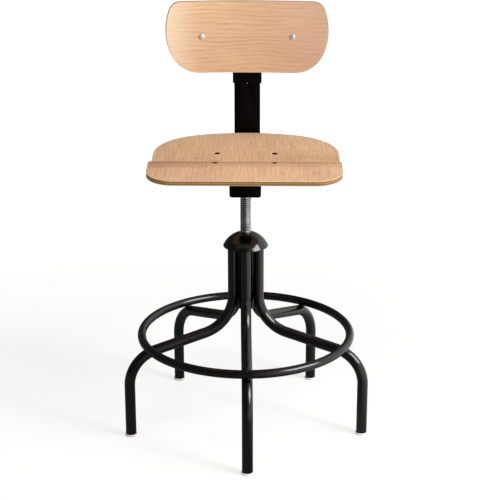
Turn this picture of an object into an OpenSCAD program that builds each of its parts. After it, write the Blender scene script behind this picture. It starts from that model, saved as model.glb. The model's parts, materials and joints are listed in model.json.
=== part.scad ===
// Plywood task chair: a five legged tube base with a foot ring, a screw lift,
// a moulded plywood seat and a plywood back on a sliding flat bar.
// Millimetres. Z is up, the sitter faces -Y, and the lift screw stands on the Z axis.

/* [Base] */
// Diameter of the circle through the middles of the five feet
foot_circle_d = 511.5; // [470:0.5:560]
// Outside diameter of the leg tubes
leg_d = 22.2; // [19:0.1:25.4]
// Wall of the leg tubes
leg_wall = 1.6; // [1.2:0.1:2.5]
// Height at which the legs leave the upright bundle
bend_top_z = 289.5; // [260:0.5:320]
// Radius of the upper leg bend, on the tube's middle line
upper_bend_r = 80.1; // [60:0.1:95]
// Radius of the lower leg bend, on the tube's middle line
lower_bend_r = 74; // [55:0.1:90]
// Fall of the legs between the bends, in degrees
leg_slope = 12.73; // [6:0.01:20]
// Turn of the base against the seat, in degrees
base_turn = 1.7; // [-8:0.1:8]
// Height of the glides below the tube ends
glide_h = 5; // [3:0.5:8]
// Diameter of the glides on the floor
glide_d = 26; // [24:0.5:32]

/* [Foot ring] */
// Outside diameter of the foot ring
ring_outer_d = 458; // [400:1:500]
// Diameter of the foot ring's tube
ring_tube_d = 17.6; // [14:0.1:22]
// Wall of the foot ring's tube
ring_wall = 1.5; // [1.2:0.1:2.5]

/* [Hub and cap] */
// Outside diameter of the middle tube
hub_d = 33; // [31:0.1:38]
// Wall of the middle tube
hub_wall = 3.2; // [2.8:0.1:4]
// Diameter of the domed cap at its rim
cap_d = 93.6; // [90:0.1:110]
// Rise of the domed cap from its rim to its hole
cap_rise = 28; // [24:0.1:32]
// Hole in the top of the domed cap
cap_hole_d = 26; // [25:0.1:30]
// Wall of the domed cap
cap_wall = 1.6; // [1.2:0.1:2.5]
// Height of the domed cap's top above the floor
cap_top_z = 424.5; // [400:0.5:440]

/* [Lift screw] */
// Outside diameter of the lift screw
screw_d = 22.2; // [20:0.1:23]
// Rise for one turn of the seat
thread_pitch = 4.2333; // [3:0.0001:5]
// Depth of the thread
thread_depth = 1.7; // [1:0.1:2]
// Turns from the pictured height down to the stop
turns_down = 19; // [10:1:19]
// Turns from the pictured height up to the stop
turns_up = 11; // [6:1:11]

/* [Seat] */
// Width of the seat
seat_w = 384; // [350:0.5:430]
// Depth of the seat from front to rear
seat_depth = 368; // [340:0.5:400]
// Thickness of the seat
seat_t = 10; // [9:0.1:13]
// Height of the seat's lowest line above the floor
seat_z = 577.1; // [560:0.1:600]
// Rise of the seat's front part towards its crest, in degrees
seat_front_angle = 5; // [2:0.1:10]
// Fall from the crest to the lowest line, in degrees
seat_fall_angle = 18; // [16:0.1:20]
// Rise from the lowest line to the rear edge, in degrees
seat_rear_angle = 3.4; // [1:0.1:8]
// Radius of the crest
crest_r = 90; // [70:1:110]
// Radius of the lowest line
valley_r = 30; // [20:1:45]
// Distance of the crest in front of the screw axis
crest_y = 77.1; // [70:0.1:84]
// Distance of the lowest line in front of the screw axis
valley_y = 13; // [8:0.1:18]
// Radius of the seat's front corners
seat_front_r = 55; // [40:1:75]
// Radius of the seat's rear corners
seat_rear_r = 127; // [90:1:140]
// Radius of the seat's rear edge
seat_end_r = 350; // [300:1:600]
// Distance between the seat bolts, side to side
seat_bolt_x = 118.5; // [100:0.5:130]
// Distance between the seat bolts, front to rear
seat_bolt_y = 127; // [115:1:140]

/* [Seat carrier] */
// Width of the channel under the seat
channel_w = 64; // [62:0.5:72]
// Wall of the channel and of the seat plate
channel_wall = 3; // [2.5:0.1:3.2]
// Length of the channel in front of the screw axis
channel_front = 50; // [46:1:60]
// Length of the channel behind the screw axis
channel_rear = 90; // [86:1:100]

/* [Back bar] */
// Width of the flat bar
bar_w = 55.6; // [45:0.1:56]
// Thickness of the flat bar
bar_t = 6.35; // [5:0.05:7]
// Distance of the upright bar behind the screw axis
bar_y = 205; // [203:0.5:215]
// Radius of the bar's bend, on its middle line
bar_bend_r = 45; // [30:1:55]
// Travel of the bar towards the front
depth_in = 15; // [5:1:15]
// Travel of the bar towards the rear
depth_out = 35; // [20:1:35]

/* [Back] */
// Width of the back
back_w = 338.8; // [300:0.1:380]
// Height of the back
back_h = 151.6; // [136:0.1:180]
// Thickness of the back
back_t = 10; // [8:0.1:13]
// Height of the back's top edge above the floor
back_top_z = 871.9; // [860:0.1:900]
// Radius of the back's curve around the sitter
back_curve_r = 800; // [450:1:1200]
// Radius of the back's upper corners
back_top_r = 25; // [15:1:40]
// Radius of the back's lower corners
back_low_r = 66; // [45:1:70]
// Radius of the back's bowed ends
back_side_r = 132; // [110:1:160]
// Distance between the back bolts
back_bolt_x = 191; // [150:1:200]
// Travel of the back downwards
height_down = 50; // [20:1:50]
// Travel of the back upwards
height_up = 30; // [10:1:30]

/* [Knobs] */
// Diameter of the knob behind the back
height_knob_d = 44; // [36:1:50]
// Diameter of the knob under the seat
depth_knob_d = 38; // [32:1:40]
// Diameter of the knob studs
stud_d = 10; // [8:0.5:10]
// Thread pitch of the knob studs
stud_pitch = 1.5; // [1:0.05:1.75]
// Turns that loosen a knob
knob_turns = 2; // [1:1:2]

/* [Hidden] */
$fn = 96;

lap = 1.5;       // reach of a tube's straight lengths into its bends
swell = 0.12;    // growth of a tube's radius in its bends
touch = 0.02;    // gap between pieces that lie on each other
snug = 0.05;     // gap round a pin that is held in its hole
loose = 0.3;     // gap between pieces that move past each other
leg_r = leg_d / 2;
leg_axis_r = hub_d / 2 + leg_r + swell + touch;
foot_r = foot_circle_d / 2;
tube_end_z = glide_h;

// The cap is part of a sphere through its rim and its hole
cap_sum = (pow(cap_d / 2, 2) - pow(cap_hole_d / 2, 2)) / cap_rise;
cap_a = (cap_sum + cap_rise) / 2;
cap_r = sqrt(pow(cap_a, 2) + pow(cap_hole_d / 2, 2));
cap_centre_z = cap_top_z - cap_a;
cap_rim_z = cap_top_z - cap_rise;
cap_in_r = cap_r - cap_wall;
leg_top_z = cap_centre_z + sqrt(pow(cap_in_r, 2) - pow(leg_axis_r + leg_r, 2)) - 5;
nut_low_z = leg_top_z - 12;
hub_low_z = bend_top_z - 31.5;

// The leg runs down, bends out, falls gently, and bends down to the foot
leg_straight = (foot_r - leg_axis_r - (upper_bend_r + lower_bend_r) * (1 - sin(leg_slope))) / cos(leg_slope);
leg_drop = leg_straight * sin(leg_slope) + (upper_bend_r + lower_bend_r) * cos(leg_slope);
low_bend_z = bend_top_z - leg_drop;
low_bend_x = foot_r - lower_bend_r;
leg_path = [[leg_top_z - bend_top_z, 0], [upper_bend_r, 90 - leg_slope], [leg_straight, 0],
    [lower_bend_r, leg_slope - 90], [low_bend_z - tube_end_z, 0]];
leg_start = [leg_axis_r, leg_top_z, -90];
leg_names = [-90, -18, 54, 126, 198];

// The foot ring lies on the legs
ring_r = ring_tube_d / 2;
ring_axis_r = ring_outer_d / 2 - ring_r;
ring_off = leg_r + swell + ring_r + touch;
ring_dx = ring_axis_r - low_bend_x;
ring_on_bend = ring_dx > (lower_bend_r + ring_off) * sin(leg_slope);
bend_end_z = low_bend_z + lower_bend_r * cos(leg_slope);
bend_end_x = low_bend_x + lower_bend_r * sin(leg_slope);
ring_line_z = bend_end_z + (bend_end_x - ring_axis_r) * tan(leg_slope) + ring_off / cos(leg_slope);
ring_bend_z = low_bend_z + sqrt(pow(lower_bend_r + ring_off, 2) - pow(ring_dx, 2));
ring_z = ring_on_bend ? ring_bend_z : ring_line_z;
weld_angle = ring_on_bend ? atan2(ring_z - low_bend_z, ring_dx) : 90 - leg_slope;

// Lift
lift_up = turns_up * thread_pitch;
lift_down = turns_down * thread_pitch;
nut_bore_d = screw_d + 2 * snug;
washer_d = hub_d - 2 * hub_wall - 0.7;
washer_t = 4;
washer_top_z = nut_low_z - lift_up - loose;
screw_low_z = washer_top_z + 0.2;
thread_root_r = screw_d / 2 - thread_depth;

// Seat profile, from the start of the lowest arc, on the upper face
valley_half = valley_r * (sin(seat_fall_angle) + sin(seat_rear_angle)) / 2;
valley_bottom_z = seat_z;
valley_start = [-valley_y - valley_half,
    valley_bottom_z + valley_r * (1 - cos(seat_fall_angle))];
crest_half = crest_r * (sin(seat_fall_angle) + sin(seat_front_angle)) / 2;
crest_end_y = -crest_y + crest_half;
seat_mid = (valley_start[0] - crest_end_y) / cos(seat_fall_angle);
crest_end_z = valley_start[1] + seat_mid * sin(seat_fall_angle);
crest_start_y = -crest_y - crest_half;
crest_start_z = crest_end_z + crest_r * (cos(seat_front_angle) - cos(seat_fall_angle));
seat_run = 60 + (crest_start_y + seat_depth / 2) / cos(seat_front_angle);
seat_start = [crest_start_y - seat_run * cos(seat_front_angle),
    crest_start_z - seat_run * sin(seat_front_angle), seat_front_angle];
seat_rear_run = seat_depth / 2 + 60;
seat_path = [[seat_run, 0], [crest_r, -seat_front_angle - seat_fall_angle], [seat_mid, 0],
    [valley_r, seat_fall_angle + seat_rear_angle], [seat_rear_run, 0]];
valley_frame = [valley_start[0], valley_start[1], -seat_fall_angle];
rear_frame = step_on(valley_frame, [valley_r, seat_fall_angle + seat_rear_angle]);

// Seat carrier
plate_t = channel_wall;
bolt_mid_y = -18;
plate_over = 20;
plate_front_run = max(2, (seat_bolt_y / 2 - bolt_mid_y + plate_over + crest_start_y) / cos(seat_front_angle));
plate_rear_run = (seat_bolt_y / 2 + bolt_mid_y + plate_over - rear_frame[0]) / cos(seat_rear_angle);
plate_w = seat_bolt_x + 30;
plate_low_z = valley_bottom_z - seat_t - plate_t;
channel_low_z = plate_low_z - 50.1;
channel_in_z = channel_low_z + channel_wall;
collar_d = 38;
collar_h = 14;
screw_top_z = channel_in_z + collar_h + 2;
bar_low_z = screw_top_z + 4;
bar_mid_z = bar_low_z + bar_t / 2;
guide_low_z = bar_low_z + bar_t + 0.15;
guide_t = 5;
guide_pin_d = 12;
guide_pin_z = bar_low_z - guide_pin_d / 2 - 0.1;
front_pin_y = -collar_d / 2 - guide_pin_d / 2 - 2;
rear_pin_y = channel_rear - 7;
stop_pin_y = 24;
stop_pin_d = 8;
depth_pad_r = 11;
depth_knob_y = rear_pin_y - guide_pin_d / 2 - depth_pad_r - 1.5;

// Back bar
bar_front_y = stop_pin_y - depth_out - stop_pin_d / 2 - 15.6;
bar_flat_run = bar_y - bar_bend_r - bar_front_y;
sleeve_gap = 0.35;
sleeve_wall = 2.7;
sleeve_w = bar_w + 2 * sleeve_gap + 2 * sleeve_wall;
sleeve_t = bar_t + 2 * sleeve_gap + 2 * sleeve_wall;
sleeve_front_y = bar_y - sleeve_t / 2;
sleeve_rear_y = bar_y + sleeve_t / 2;
back_bolt_z = back_top_z - 0.49 * back_h;
sleeve_top_z = back_bolt_z + 16;
sleeve_low_z = back_top_z - back_h - 26;
height_pin_z = sleeve_low_z + 51;
height_knob_z = sleeve_low_z + 27;
height_pin_d = 6;
bar_top_z = height_pin_z + height_up + height_pin_d / 2 + 16;
bar_up_run = bar_top_z - bar_mid_z - bar_bend_r;

// Back
strap_t = 3;
strap_h = 32;
strap_half_w = back_bolt_x / 2 + 18;
back_front_y = sleeve_front_y - touch - strap_t - touch - back_t;
back_centre_y = back_front_y - back_curve_r;
back_rear_r = back_curve_r + back_t;
strap_in_r = back_rear_r + touch;
back_bolt_angle = asin(back_bolt_x / 2 / back_curve_r);
back_side_angle = 20;
back_low_angle = 22;

// Clamps
pad_lift = knob_turns * stud_pitch;
clamp_rear_y = 268.6;

// Frame after one segment of a path: [length, 0] is straight, [radius, turn] is a bend
function step_on(f, s) = s[1] == 0
    ? [f[0] + s[0] * cos(f[2]), f[1] + s[0] * sin(f[2]), f[2]]
    : let(k = s[1] > 0 ? s[0] : -s[0])
        [f[0] - k * sin(f[2]) + k * sin(f[2] + s[1]), f[1] + k * cos(f[2]) - k * cos(f[2] + s[1]), f[2] + s[1]];
function frames(path, f, i = 0) = i == len(path) ? [f]
    : concat([f], frames(path, step_on(f, path[i]), i + 1));
function bend_mid(f, s) = let(k = s[1] > 0 ? s[0] : -s[0]) [f[0] - k * sin(f[2]), f[1] + k * cos(f[2])];
function ray(a, r) = [r * cos(a), r * sin(a)];
function arc_points(c, r, a0, a1) = let(n = ceil(abs(a1 - a0) / (r > 200 ? 1.5 : r > 60 ? 3 : 5)))
    [for (i = [0 : n]) c + ray(a0 + (a1 - a0) * i / n, r)];
function flipped(p) = [for (i = [len(p) - 1 : -1 : 0]) if (p[i][0] > 0.001) [-p[i][0], p[i][1]]];
function fine(r) = r < 15 ? 48 : r < 60 ? 96 : r < 200 ? 240 : 900;

// Part of a disc between two angles
module wedge(r, a0, a1) {
    intersection() {
        circle(r = r, $fn = fine(r));
        polygon([[0, 0], ray(a0, 2 * r), ray((a0 + a1) / 2, 2 * r), ray(a1, 2 * r)]);
    }
}

// Points along a path, moved to its right by a distance
function beside(path, start, off) = let(f = frames(path, start))
    concat([for (i = [0 : len(path) - 1]) let(n = ceil(abs(path[i][1]) / (path[i][0] < 10 ? 15 : 2.5)))
        for (k = [0 : max(n, 1) - 1]) let(g = k == 0 ? f[i] : step_on(f[i], [path[i][0], path[i][1] * k / n]))
            right_of(g, off)], [right_of(f[len(path)], off)]);
function right_of(g, off) = [g[0] + off * sin(g[2]), g[1] - off * cos(g[2])];
function backwards(p) = [for (i = [len(p) - 1 : -1 : 0]) p[i]];

// Band of even thickness that lies on the right of a path
module ribbon(path, start, t) {
    polygon(concat(beside(path, start, 0), backwards(beside(path, start, t))));
}

// Round bar along a path in the XZ plane, with bends a hair thicker than its straight lengths
module rod(path, start, r, fine_n = 96) {
    f = frames(path, start);
    rotate([90, 0, 0])
        for (i = [0 : len(path) - 1]) {
            s = path[i];
            if (s[1] == 0) {
                before = i > 0 ? lap : 0;
                after = i < len(path) - 1 ? lap : 0;
                translate([f[i][0], f[i][1], 0])
                    rotate([0, 0, f[i][2]])
                        rotate([0, 90, 0])
                            translate([0, 0, -before])
                                cylinder(h = s[0] + before + after, r = r, $fn = 96);
            } else {
                c = bend_mid(f[i], s);
                a0 = s[1] > 0 ? f[i][2] - 90 : f[i][2] + 90;
                translate([c[0], c[1], 0])
                    rotate([0, 0, s[1] > 0 ? a0 : a0 + s[1]])
                        rotate_extrude(angle = abs(s[1]), $fn = fine_n)
                            translate([s[0], 0])
                                circle(r = r + swell, $fn = 96);
            }
        }
}

// Hexagonal prism by its width across flats
module hex(af, h) {
    cylinder(h = h, r = af / 2 / cos(30), $fn = 6);
}

// Extrudes an outline drawn in the YZ plane along X, about x = 0
module along_x(w) {
    rotate([90, 0, 90])
        translate([0, 0, -w / 2])
            linear_extrude(height = w)
                children();
}

module leg(a) {
    color([0.03, 0.03, 0.03])
        rotate([0, 0, a + base_turn])
            difference() {
                rod(leg_path, leg_start, leg_r);
                rod(leg_path, leg_start, leg_r - leg_wall);
            }
}

module leg_front() {
    leg(leg_names[0]);
}

module leg_front_right() {
    leg(leg_names[1]);
}

module leg_rear_right() {
    leg(leg_names[2]);
}

module leg_rear_left() {
    leg(leg_names[3]);
}

module leg_front_left() {
    leg(leg_names[4]);
}

module hub_tube() {
    color([0.03, 0.03, 0.03])
        translate([0, 0, hub_low_z])
            difference() {
                cylinder(h = leg_top_z - hub_low_z, r = hub_d / 2);
                translate([0, 0, -1])
                    cylinder(h = leg_top_z - hub_low_z + 2, r = hub_d / 2 - hub_wall);
            }
}

// Flanged nut pressed into the top of the middle tube
module lift_nut() {
    color([0.65, 0.66, 0.66])
        difference() {
            union() {
                translate([0, 0, nut_low_z])
                    cylinder(h = leg_top_z - nut_low_z + 1, r = hub_d / 2 - hub_wall - touch);
                intersection() {
                    translate([0, 0, leg_top_z + touch])
                        cylinder(h = 60, r = hub_d / 2);
                    translate([0, 0, cap_centre_z])
                        sphere(r = cap_in_r - touch);
                }
            }
            translate([0, 0, nut_low_z - 1])
                cylinder(h = 90, r = nut_bore_d / 2);
        }
}

// Welds in the corners between the middle tube and each leg
module hub_welds() {
    weld_r = hub_d / 2 + 1.6;
    weld_a = acos((pow(weld_r, 2) + pow(leg_axis_r, 2) - pow(leg_r + 1.6, 2)) / (2 * weld_r * leg_axis_r));
    color([0.04, 0.04, 0.04])
        for (a = leg_names)
            rotate([0, 0, a + base_turn])
                for (s = [-1, 1])
                    difference() {
                        rotate([0, 0, s * weld_a])
                            translate([weld_r, 0, bend_top_z + 6])
                                cylinder(h = leg_top_z - bend_top_z - 12, r = 2.4, $fn = 32);
                        translate([0, 0, bend_top_z])
                            cylinder(h = 200, r = hub_d / 2 + touch / 2);
                        translate([leg_axis_r, 0, bend_top_z])
                            cylinder(h = 200, r = leg_r + touch / 2);
                    }
}

module foot_ring() {
    color([0.03, 0.03, 0.03])
        translate([0, 0, ring_z])
            rotate_extrude($fn = 180)
                translate([ring_axis_r, 0])
                    difference() {
                        circle(r = ring_r, $fn = 40);
                        circle(r = ring_r - ring_wall, $fn = 40);
                    }
}

// Beads that join the foot ring to the legs
module ring_welds() {
    color([0.04, 0.04, 0.04])
        difference() {
            for (a = leg_names)
                rotate([0, 0, a + base_turn])
                    translate([ring_axis_r, 0, ring_z])
                        rotate([0, -90 - weld_angle, 0])
                            translate([0, 0, ring_r - 3])
                                cylinder(h = 5.6, r = 6.4, $fn = 40);
            translate([0, 0, ring_z])
                rotate_extrude($fn = 720)
                    translate([ring_axis_r, 0])
                        circle(r = ring_r + touch / 4, $fn = 96);
            for (a = leg_names)
                rotate([0, 0, a + base_turn])
                    rod([leg_path[2], leg_path[3]], frames(leg_path, leg_start)[2], leg_r + touch / 4, 720);
        }
}

// Nylon glides with a stem inside the tube
module foot_glides() {
    color([0.9, 0.9, 0.88])
        for (a = leg_names)
            rotate([0, 0, a + base_turn])
                translate([foot_r, 0, 0])
                    rotate_extrude()
                        polygon([[0, 0], [glide_d / 2 - 1.2, 0], [glide_d / 2, 1.2], [glide_d / 2, glide_h - 1.4],
                            [glide_d / 2 - 1.4, glide_h - touch], [leg_r - leg_wall - snug, glide_h - touch],
                            [leg_r - leg_wall - snug, glide_h + 18], [leg_r - leg_wall - 2, glide_h + 22],
                            [0, glide_h + 22]]);
}

module dome_cap() {
    color([0.03, 0.03, 0.03])
        difference() {
            translate([0, 0, cap_centre_z])
                sphere(r = cap_r, $fn = 128);
            translate([0, 0, cap_centre_z])
                sphere(r = cap_in_r, $fn = 128);
            translate([0, 0, cap_rim_z - 100])
                cylinder(h = 100, r = 90);
            translate([0, 0, cap_centre_z])
                cylinder(h = 90, r = cap_hole_d / 2);
        }
}

// Loose washer that stops the screw under the nut
module stop_washer() {
    color([0.62, 0.63, 0.64])
        translate([0, 0, washer_top_z - washer_t])
            difference() {
                cylinder(h = washer_t, r = washer_d / 2);
                translate([0, 0, -1])
                    cylinder(h = washer_t + 2, r = 5.3);
            }
}

module lift_screw() {
    run = channel_low_z - 6 - screw_low_z;
    count = floor((run - 4) / thread_pitch);
    color([0.72, 0.72, 0.71])
        difference() {
            translate([0, 0, screw_low_z])
                cylinder(h = screw_top_z - screw_low_z, r = screw_d / 2);
            for (i = [0 : count - 1])
                translate([0, 0, screw_low_z + 3 + i * thread_pitch])
                    rotate_extrude()
                        polygon([[thread_root_r, thread_pitch * 0.28], [screw_d / 2 + 1, thread_pitch * 0.02],
                            [screw_d / 2 + 1, thread_pitch * 0.98], [thread_root_r, thread_pitch * 0.72]]);
            translate([0, 0, screw_low_z - 1])
                cylinder(h = 27, r = 5 + snug);
            translate([0, 0, channel_in_z + collar_h / 2])
                rotate([0, 90, 0])
                    translate([0, 0, -30])
                        cylinder(h = 60, r = 3 + snug);
        }
}

// Bolt in the screw's lower end that carries the stop washer
module stop_bolt() {
    head_z = washer_top_z - washer_t - 0.2;
    color([0.55, 0.56, 0.57])
        difference() {
            union() {
                translate([0, 0, head_z - 6])
                    cylinder(h = 6, r = 8);
                translate([0, 0, head_z - 0.1])
                    cylinder(h = 28, r = 5);
            }
            translate([0, 0, head_z - 7])
                hex(8, 5);
        }
}

// Collar welded to the channel floor round the screw's upper end
module screw_collar() {
    color([0.03, 0.03, 0.03])
        translate([0, 0, channel_in_z + touch])
            difference() {
                cylinder(h = collar_h - touch, r = collar_d / 2);
                translate([0, 0, -1])
                    cylinder(h = collar_h + 2, r = screw_d / 2 + snug);
                translate([0, 0, collar_h / 2 - touch])
                    rotate([0, 90, 0])
                        translate([0, 0, -30])
                            cylinder(h = 60, r = 3 + snug);
            }
}

module collar_pin() {
    color([0.5, 0.51, 0.52])
        translate([-collar_d / 2 + 0.5, 0, channel_in_z + collar_h / 2])
            rotate([0, 90, 0])
                cylinder(h = collar_d - 1, r = 3);
}

// Space above the underside of the seat plate, seen from the side
module above_plate(lower = 0) {
    d = seat_t + plate_t + lower;
    p1 = [valley_frame[0] - d * sin(seat_fall_angle), valley_frame[1] - d * cos(seat_fall_angle)];
    p2 = [rear_frame[0] + d * sin(seat_rear_angle), rear_frame[1] - d * cos(seat_rear_angle)];
    span = p2[0] - p1[0];
    gap = (p2[1] - p1[1] + span * tan(seat_fall_angle)) / (tan(seat_fall_angle) + tan(seat_rear_angle));
    low = [p2[0] - gap, p2[1] - gap * tan(seat_rear_angle)];
    out = seat_w / 2;
    polygon([low, [low[0] + out, low[1] + out * tan(seat_rear_angle)], [low[0] + out, low[1] + out],
        [low[0] - out, low[1] + out], [low[0] - out, low[1] + out * tan(seat_fall_angle)]]);
}

module seat_channel() {
    inner = channel_w / 2 - channel_wall;
    wall_h = 90;
    color([0.03, 0.03, 0.03])
        difference() {
            translate([0, channel_rear, 0])
                rotate([90, 0, 0])
                    linear_extrude(height = channel_front + channel_rear)
                        ribbon([[wall_h, 0], [2, 90], [2 * inner - 4, 0], [2, 90], [wall_h, 0]],
                            [-inner, channel_in_z + 2 + wall_h, -90], channel_wall);
            along_x(seat_w)
                above_plate(touch);
            translate([0, 0, channel_low_z - 1])
                cylinder(h = channel_wall + 2, r = screw_d / 2 + snug);
            translate([0, depth_knob_y, channel_low_z - 1])
                cylinder(h = channel_wall + 2, r = stud_d / 2 + 0.6);
        }
}

// Plate that closes the channel's front end
module channel_end_plate() {
    inner = channel_w / 2 - channel_wall - touch;
    color([0.03, 0.03, 0.03])
        difference() {
            translate([-inner, -channel_front, channel_in_z + touch])
                cube([2 * inner, channel_wall, 90]);
            for (s = [-1, 1])
                translate([s * inner, -channel_front - 1, channel_in_z])
                    rotate([-90, 0, 0])
                        cylinder(h = channel_wall + 2, r = 2.1, $fn = 24);
            along_x(seat_w)
                above_plate(touch);
        }
}

module bolt_spots() {
    for (x = [-1, 1]) {
        translate([x * seat_bolt_x / 2, front_bolt[0], front_bolt[1]])
            rotate([front_bolt[2], 0, 0])
                children();
        translate([x * seat_bolt_x / 2, rear_bolt[0], rear_bolt[1]])
            rotate([seat_rear_angle, 0, 0])
                children();
    }
}
front_bolt_y = bolt_mid_y - seat_bolt_y / 2;
rear_bolt_y = bolt_mid_y + seat_bolt_y / 2;
crest_centre = [crest_start_y + crest_r * sin(seat_front_angle), crest_start_z - crest_r * cos(seat_front_angle)];
front_bolt = front_bolt_y < crest_start_y
    ? [front_bolt_y, crest_start_z - (crest_start_y - front_bolt_y) * tan(seat_front_angle), seat_front_angle]
    : let(a = asin((front_bolt_y - crest_centre[0]) / crest_r))
        [front_bolt_y, crest_centre[1] + crest_r * cos(a), -a];
rear_bolt = [rear_bolt_y, rear_frame[1] + (rear_bolt_y - rear_frame[0]) * tan(seat_rear_angle)];

// Upper face of the seat plate, seen from the side
plate_d = seat_t + touch;
plate_start = [crest_start_y - plate_front_run * cos(seat_front_angle) + plate_d * sin(seat_front_angle),
    crest_start_z - plate_front_run * sin(seat_front_angle) - plate_d * cos(seat_front_angle), seat_front_angle];
plate_path = [[plate_front_run, 0], [crest_r - plate_d, -seat_front_angle - seat_fall_angle], [seat_mid, 0],
    [valley_r + plate_d, seat_fall_angle + seat_rear_angle], [plate_rear_run, 0]];

module seat_plate() {
    color([0.03, 0.03, 0.03])
        difference() {
            along_x(plate_w)
                ribbon(plate_path, plate_start, plate_t - touch);
            bolt_spots()
                translate([0, 0, -40])
                    cylinder(h = 50, r = 3.3);
        }
}

module guide_plate() {
    inner = channel_w / 2 - channel_wall - touch;
    color([0.03, 0.03, 0.03])
        difference() {
            translate([-inner, -channel_front + channel_wall + 3, guide_low_z])
                cube([2 * inner, channel_front + channel_rear - channel_wall - 8, guide_t]);
            translate([0, stop_pin_y, guide_low_z - 1])
                cylinder(h = guide_t + 2, r = stop_pin_d / 2 + snug);
        }
}

module guide_pins() {
    inner = channel_w / 2 - channel_wall - touch;
    color([0.45, 0.46, 0.47])
        for (y = [front_pin_y, rear_pin_y])
            translate([-inner, y, guide_pin_z])
                rotate([0, 90, 0])
                    cylinder(h = 2 * inner, r = guide_pin_d / 2);
}

module depth_stop_pin() {
    color([0.5, 0.51, 0.52])
        translate([0, stop_pin_y, bar_low_z - 1.5])
            cylinder(h = bar_t + guide_t + 1.5 + 0.15, r = stop_pin_d / 2);
}

module clamp_nut() {
    color([0.6, 0.61, 0.62])
        translate([0, depth_knob_y, channel_in_z + touch])
            difference() {
                hex(17, 8);
                translate([0, 0, -1])
                    cylinder(h = 10, r = stud_d / 2 + snug);
            }
}

// Outline of the seat from above: arcs that run into each other
module seat_outline() {
    half = seat_w / 2;
    yr = seat_depth / 2;
    c3 = [0, yr - seat_end_r];
    c2x = half - seat_rear_r;
    c2 = [c2x, c3[1] + sqrt(pow(seat_end_r - seat_rear_r, 2) - pow(c2x, 2))];
    a3 = atan2(c2[1] - c3[1], c2[0] - c3[0]);
    c0 = [half - seat_front_r, -yr + seat_front_r];
    right = concat(arc_points(c3, seat_end_r, 90, a3), arc_points(c2, seat_rear_r, a3, 0),
        arc_points(c0, seat_front_r, 0, -90));
    polygon(concat(right, flipped(right)));
}

module seat_panel() {
    color([0.86, 0.70, 0.52])
        difference() {
            intersection() {
                along_x(seat_w + 20)
                    ribbon(seat_path, seat_start, seat_t);
                translate([0, 0, seat_z - 80])
                    linear_extrude(height = 160)
                        seat_outline();
            }
            bolt_spots()
                translate([0, 0, -30])
                    cylinder(h = 40, r = 3.3);
            bolt_spots()
                translate([0, 0, -4.5])
                    cylinder(h = 10, r = 6);
        }
}

module seat_bolts() {
    color([0.08, 0.08, 0.08])
        bolt_spots()
            difference() {
                union() {
                    translate([0, 0, -4.5 + touch])
                        cylinder(h = 3.4, r = 5.4);
                    translate([0, 0, -seat_t - plate_t - 7])
                        cylinder(h = seat_t + plate_t + 3, r = 3);
                }
                translate([0, 0, -3])
                    hex(4, 4);
            }
}

// Flange nuts whose upper faces lie against the bent plate
module seat_nuts() {
    under = beside(plate_path, plate_start, plate_t);
    color([0.6, 0.61, 0.62])
        intersection() {
            bolt_spots()
                translate([0, 0, -seat_t - plate_t - 5.2])
                    difference() {
                        union() {
                            hex(10, 6.2);
                            translate([0, 0, 3.9])
                                cylinder(h = 3, r = 6.6);
                        }
                        translate([0, 0, -1])
                            cylinder(h = 10, r = 3 + snug);
                    }
            along_x(plate_w)
                polygon(concat(under, [[rear_bolt_y + 40, seat_z - 90], [front_bolt_y - 40, seat_z - 90]]));
        }
}

// Star shaped grip with a neck, standing on z = 0 with the neck upwards
module star_grip(d, h, neck_h) {
    difference() {
        union() {
            cylinder(h = h, r = d / 2);
            translate([0, 0, h - 0.1])
                cylinder(h = neck_h + 0.1, r1 = 10, r2 = 8);
        }
        for (a = [0 : 60 : 300])
            rotate([0, 0, a])
                translate([d / 2 + 3.2, 0, -1])
                    cylinder(h = h + 2, r = 6.2, $fn = 40);
        translate([0, 0, 4])
            cylinder(h = h + neck_h, r = stud_d / 2 + snug);
    }
}

// Pad that presses on the bar, with a socket for the stud's tip; the pressing face is up at z = h
module clamp_pad(r, h) {
    difference() {
        cylinder(h = h, r = r);
        translate([0, 0, -1])
            cylinder(h = 4, r = 3.1);
    }
}

// Stud with a narrow tip upwards at z = 0
module clamp_stud(length) {
    translate([0, 0, -length])
        cylinder(h = length - 0.1, r = stud_d / 2);
    translate([0, 0, -0.2])
        cylinder(h = 2.9, r = 3);
}

depth_pad_h = 6;
depth_pad_z = bar_low_z - touch - depth_pad_h;
depth_knob_top_z = channel_low_z - pad_lift - 1;
depth_grip_h = 15;
depth_neck_h = 8;

module depth_pad() {
    color([0.72, 0.58, 0.3])
        translate([0, depth_knob_y, depth_pad_z])
            clamp_pad(depth_pad_r, depth_pad_h);
}

module depth_stud() {
    color([0.6, 0.61, 0.62])
        translate([0, depth_knob_y, depth_pad_z])
            clamp_stud(depth_pad_z - depth_knob_top_z + depth_grip_h + depth_neck_h - 5);
}

module depth_knob() {
    color([0.05, 0.05, 0.05])
        translate([0, depth_knob_y, depth_knob_top_z - depth_grip_h - depth_neck_h])
            star_grip(depth_knob_d, depth_grip_h, depth_neck_h);
}

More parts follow.
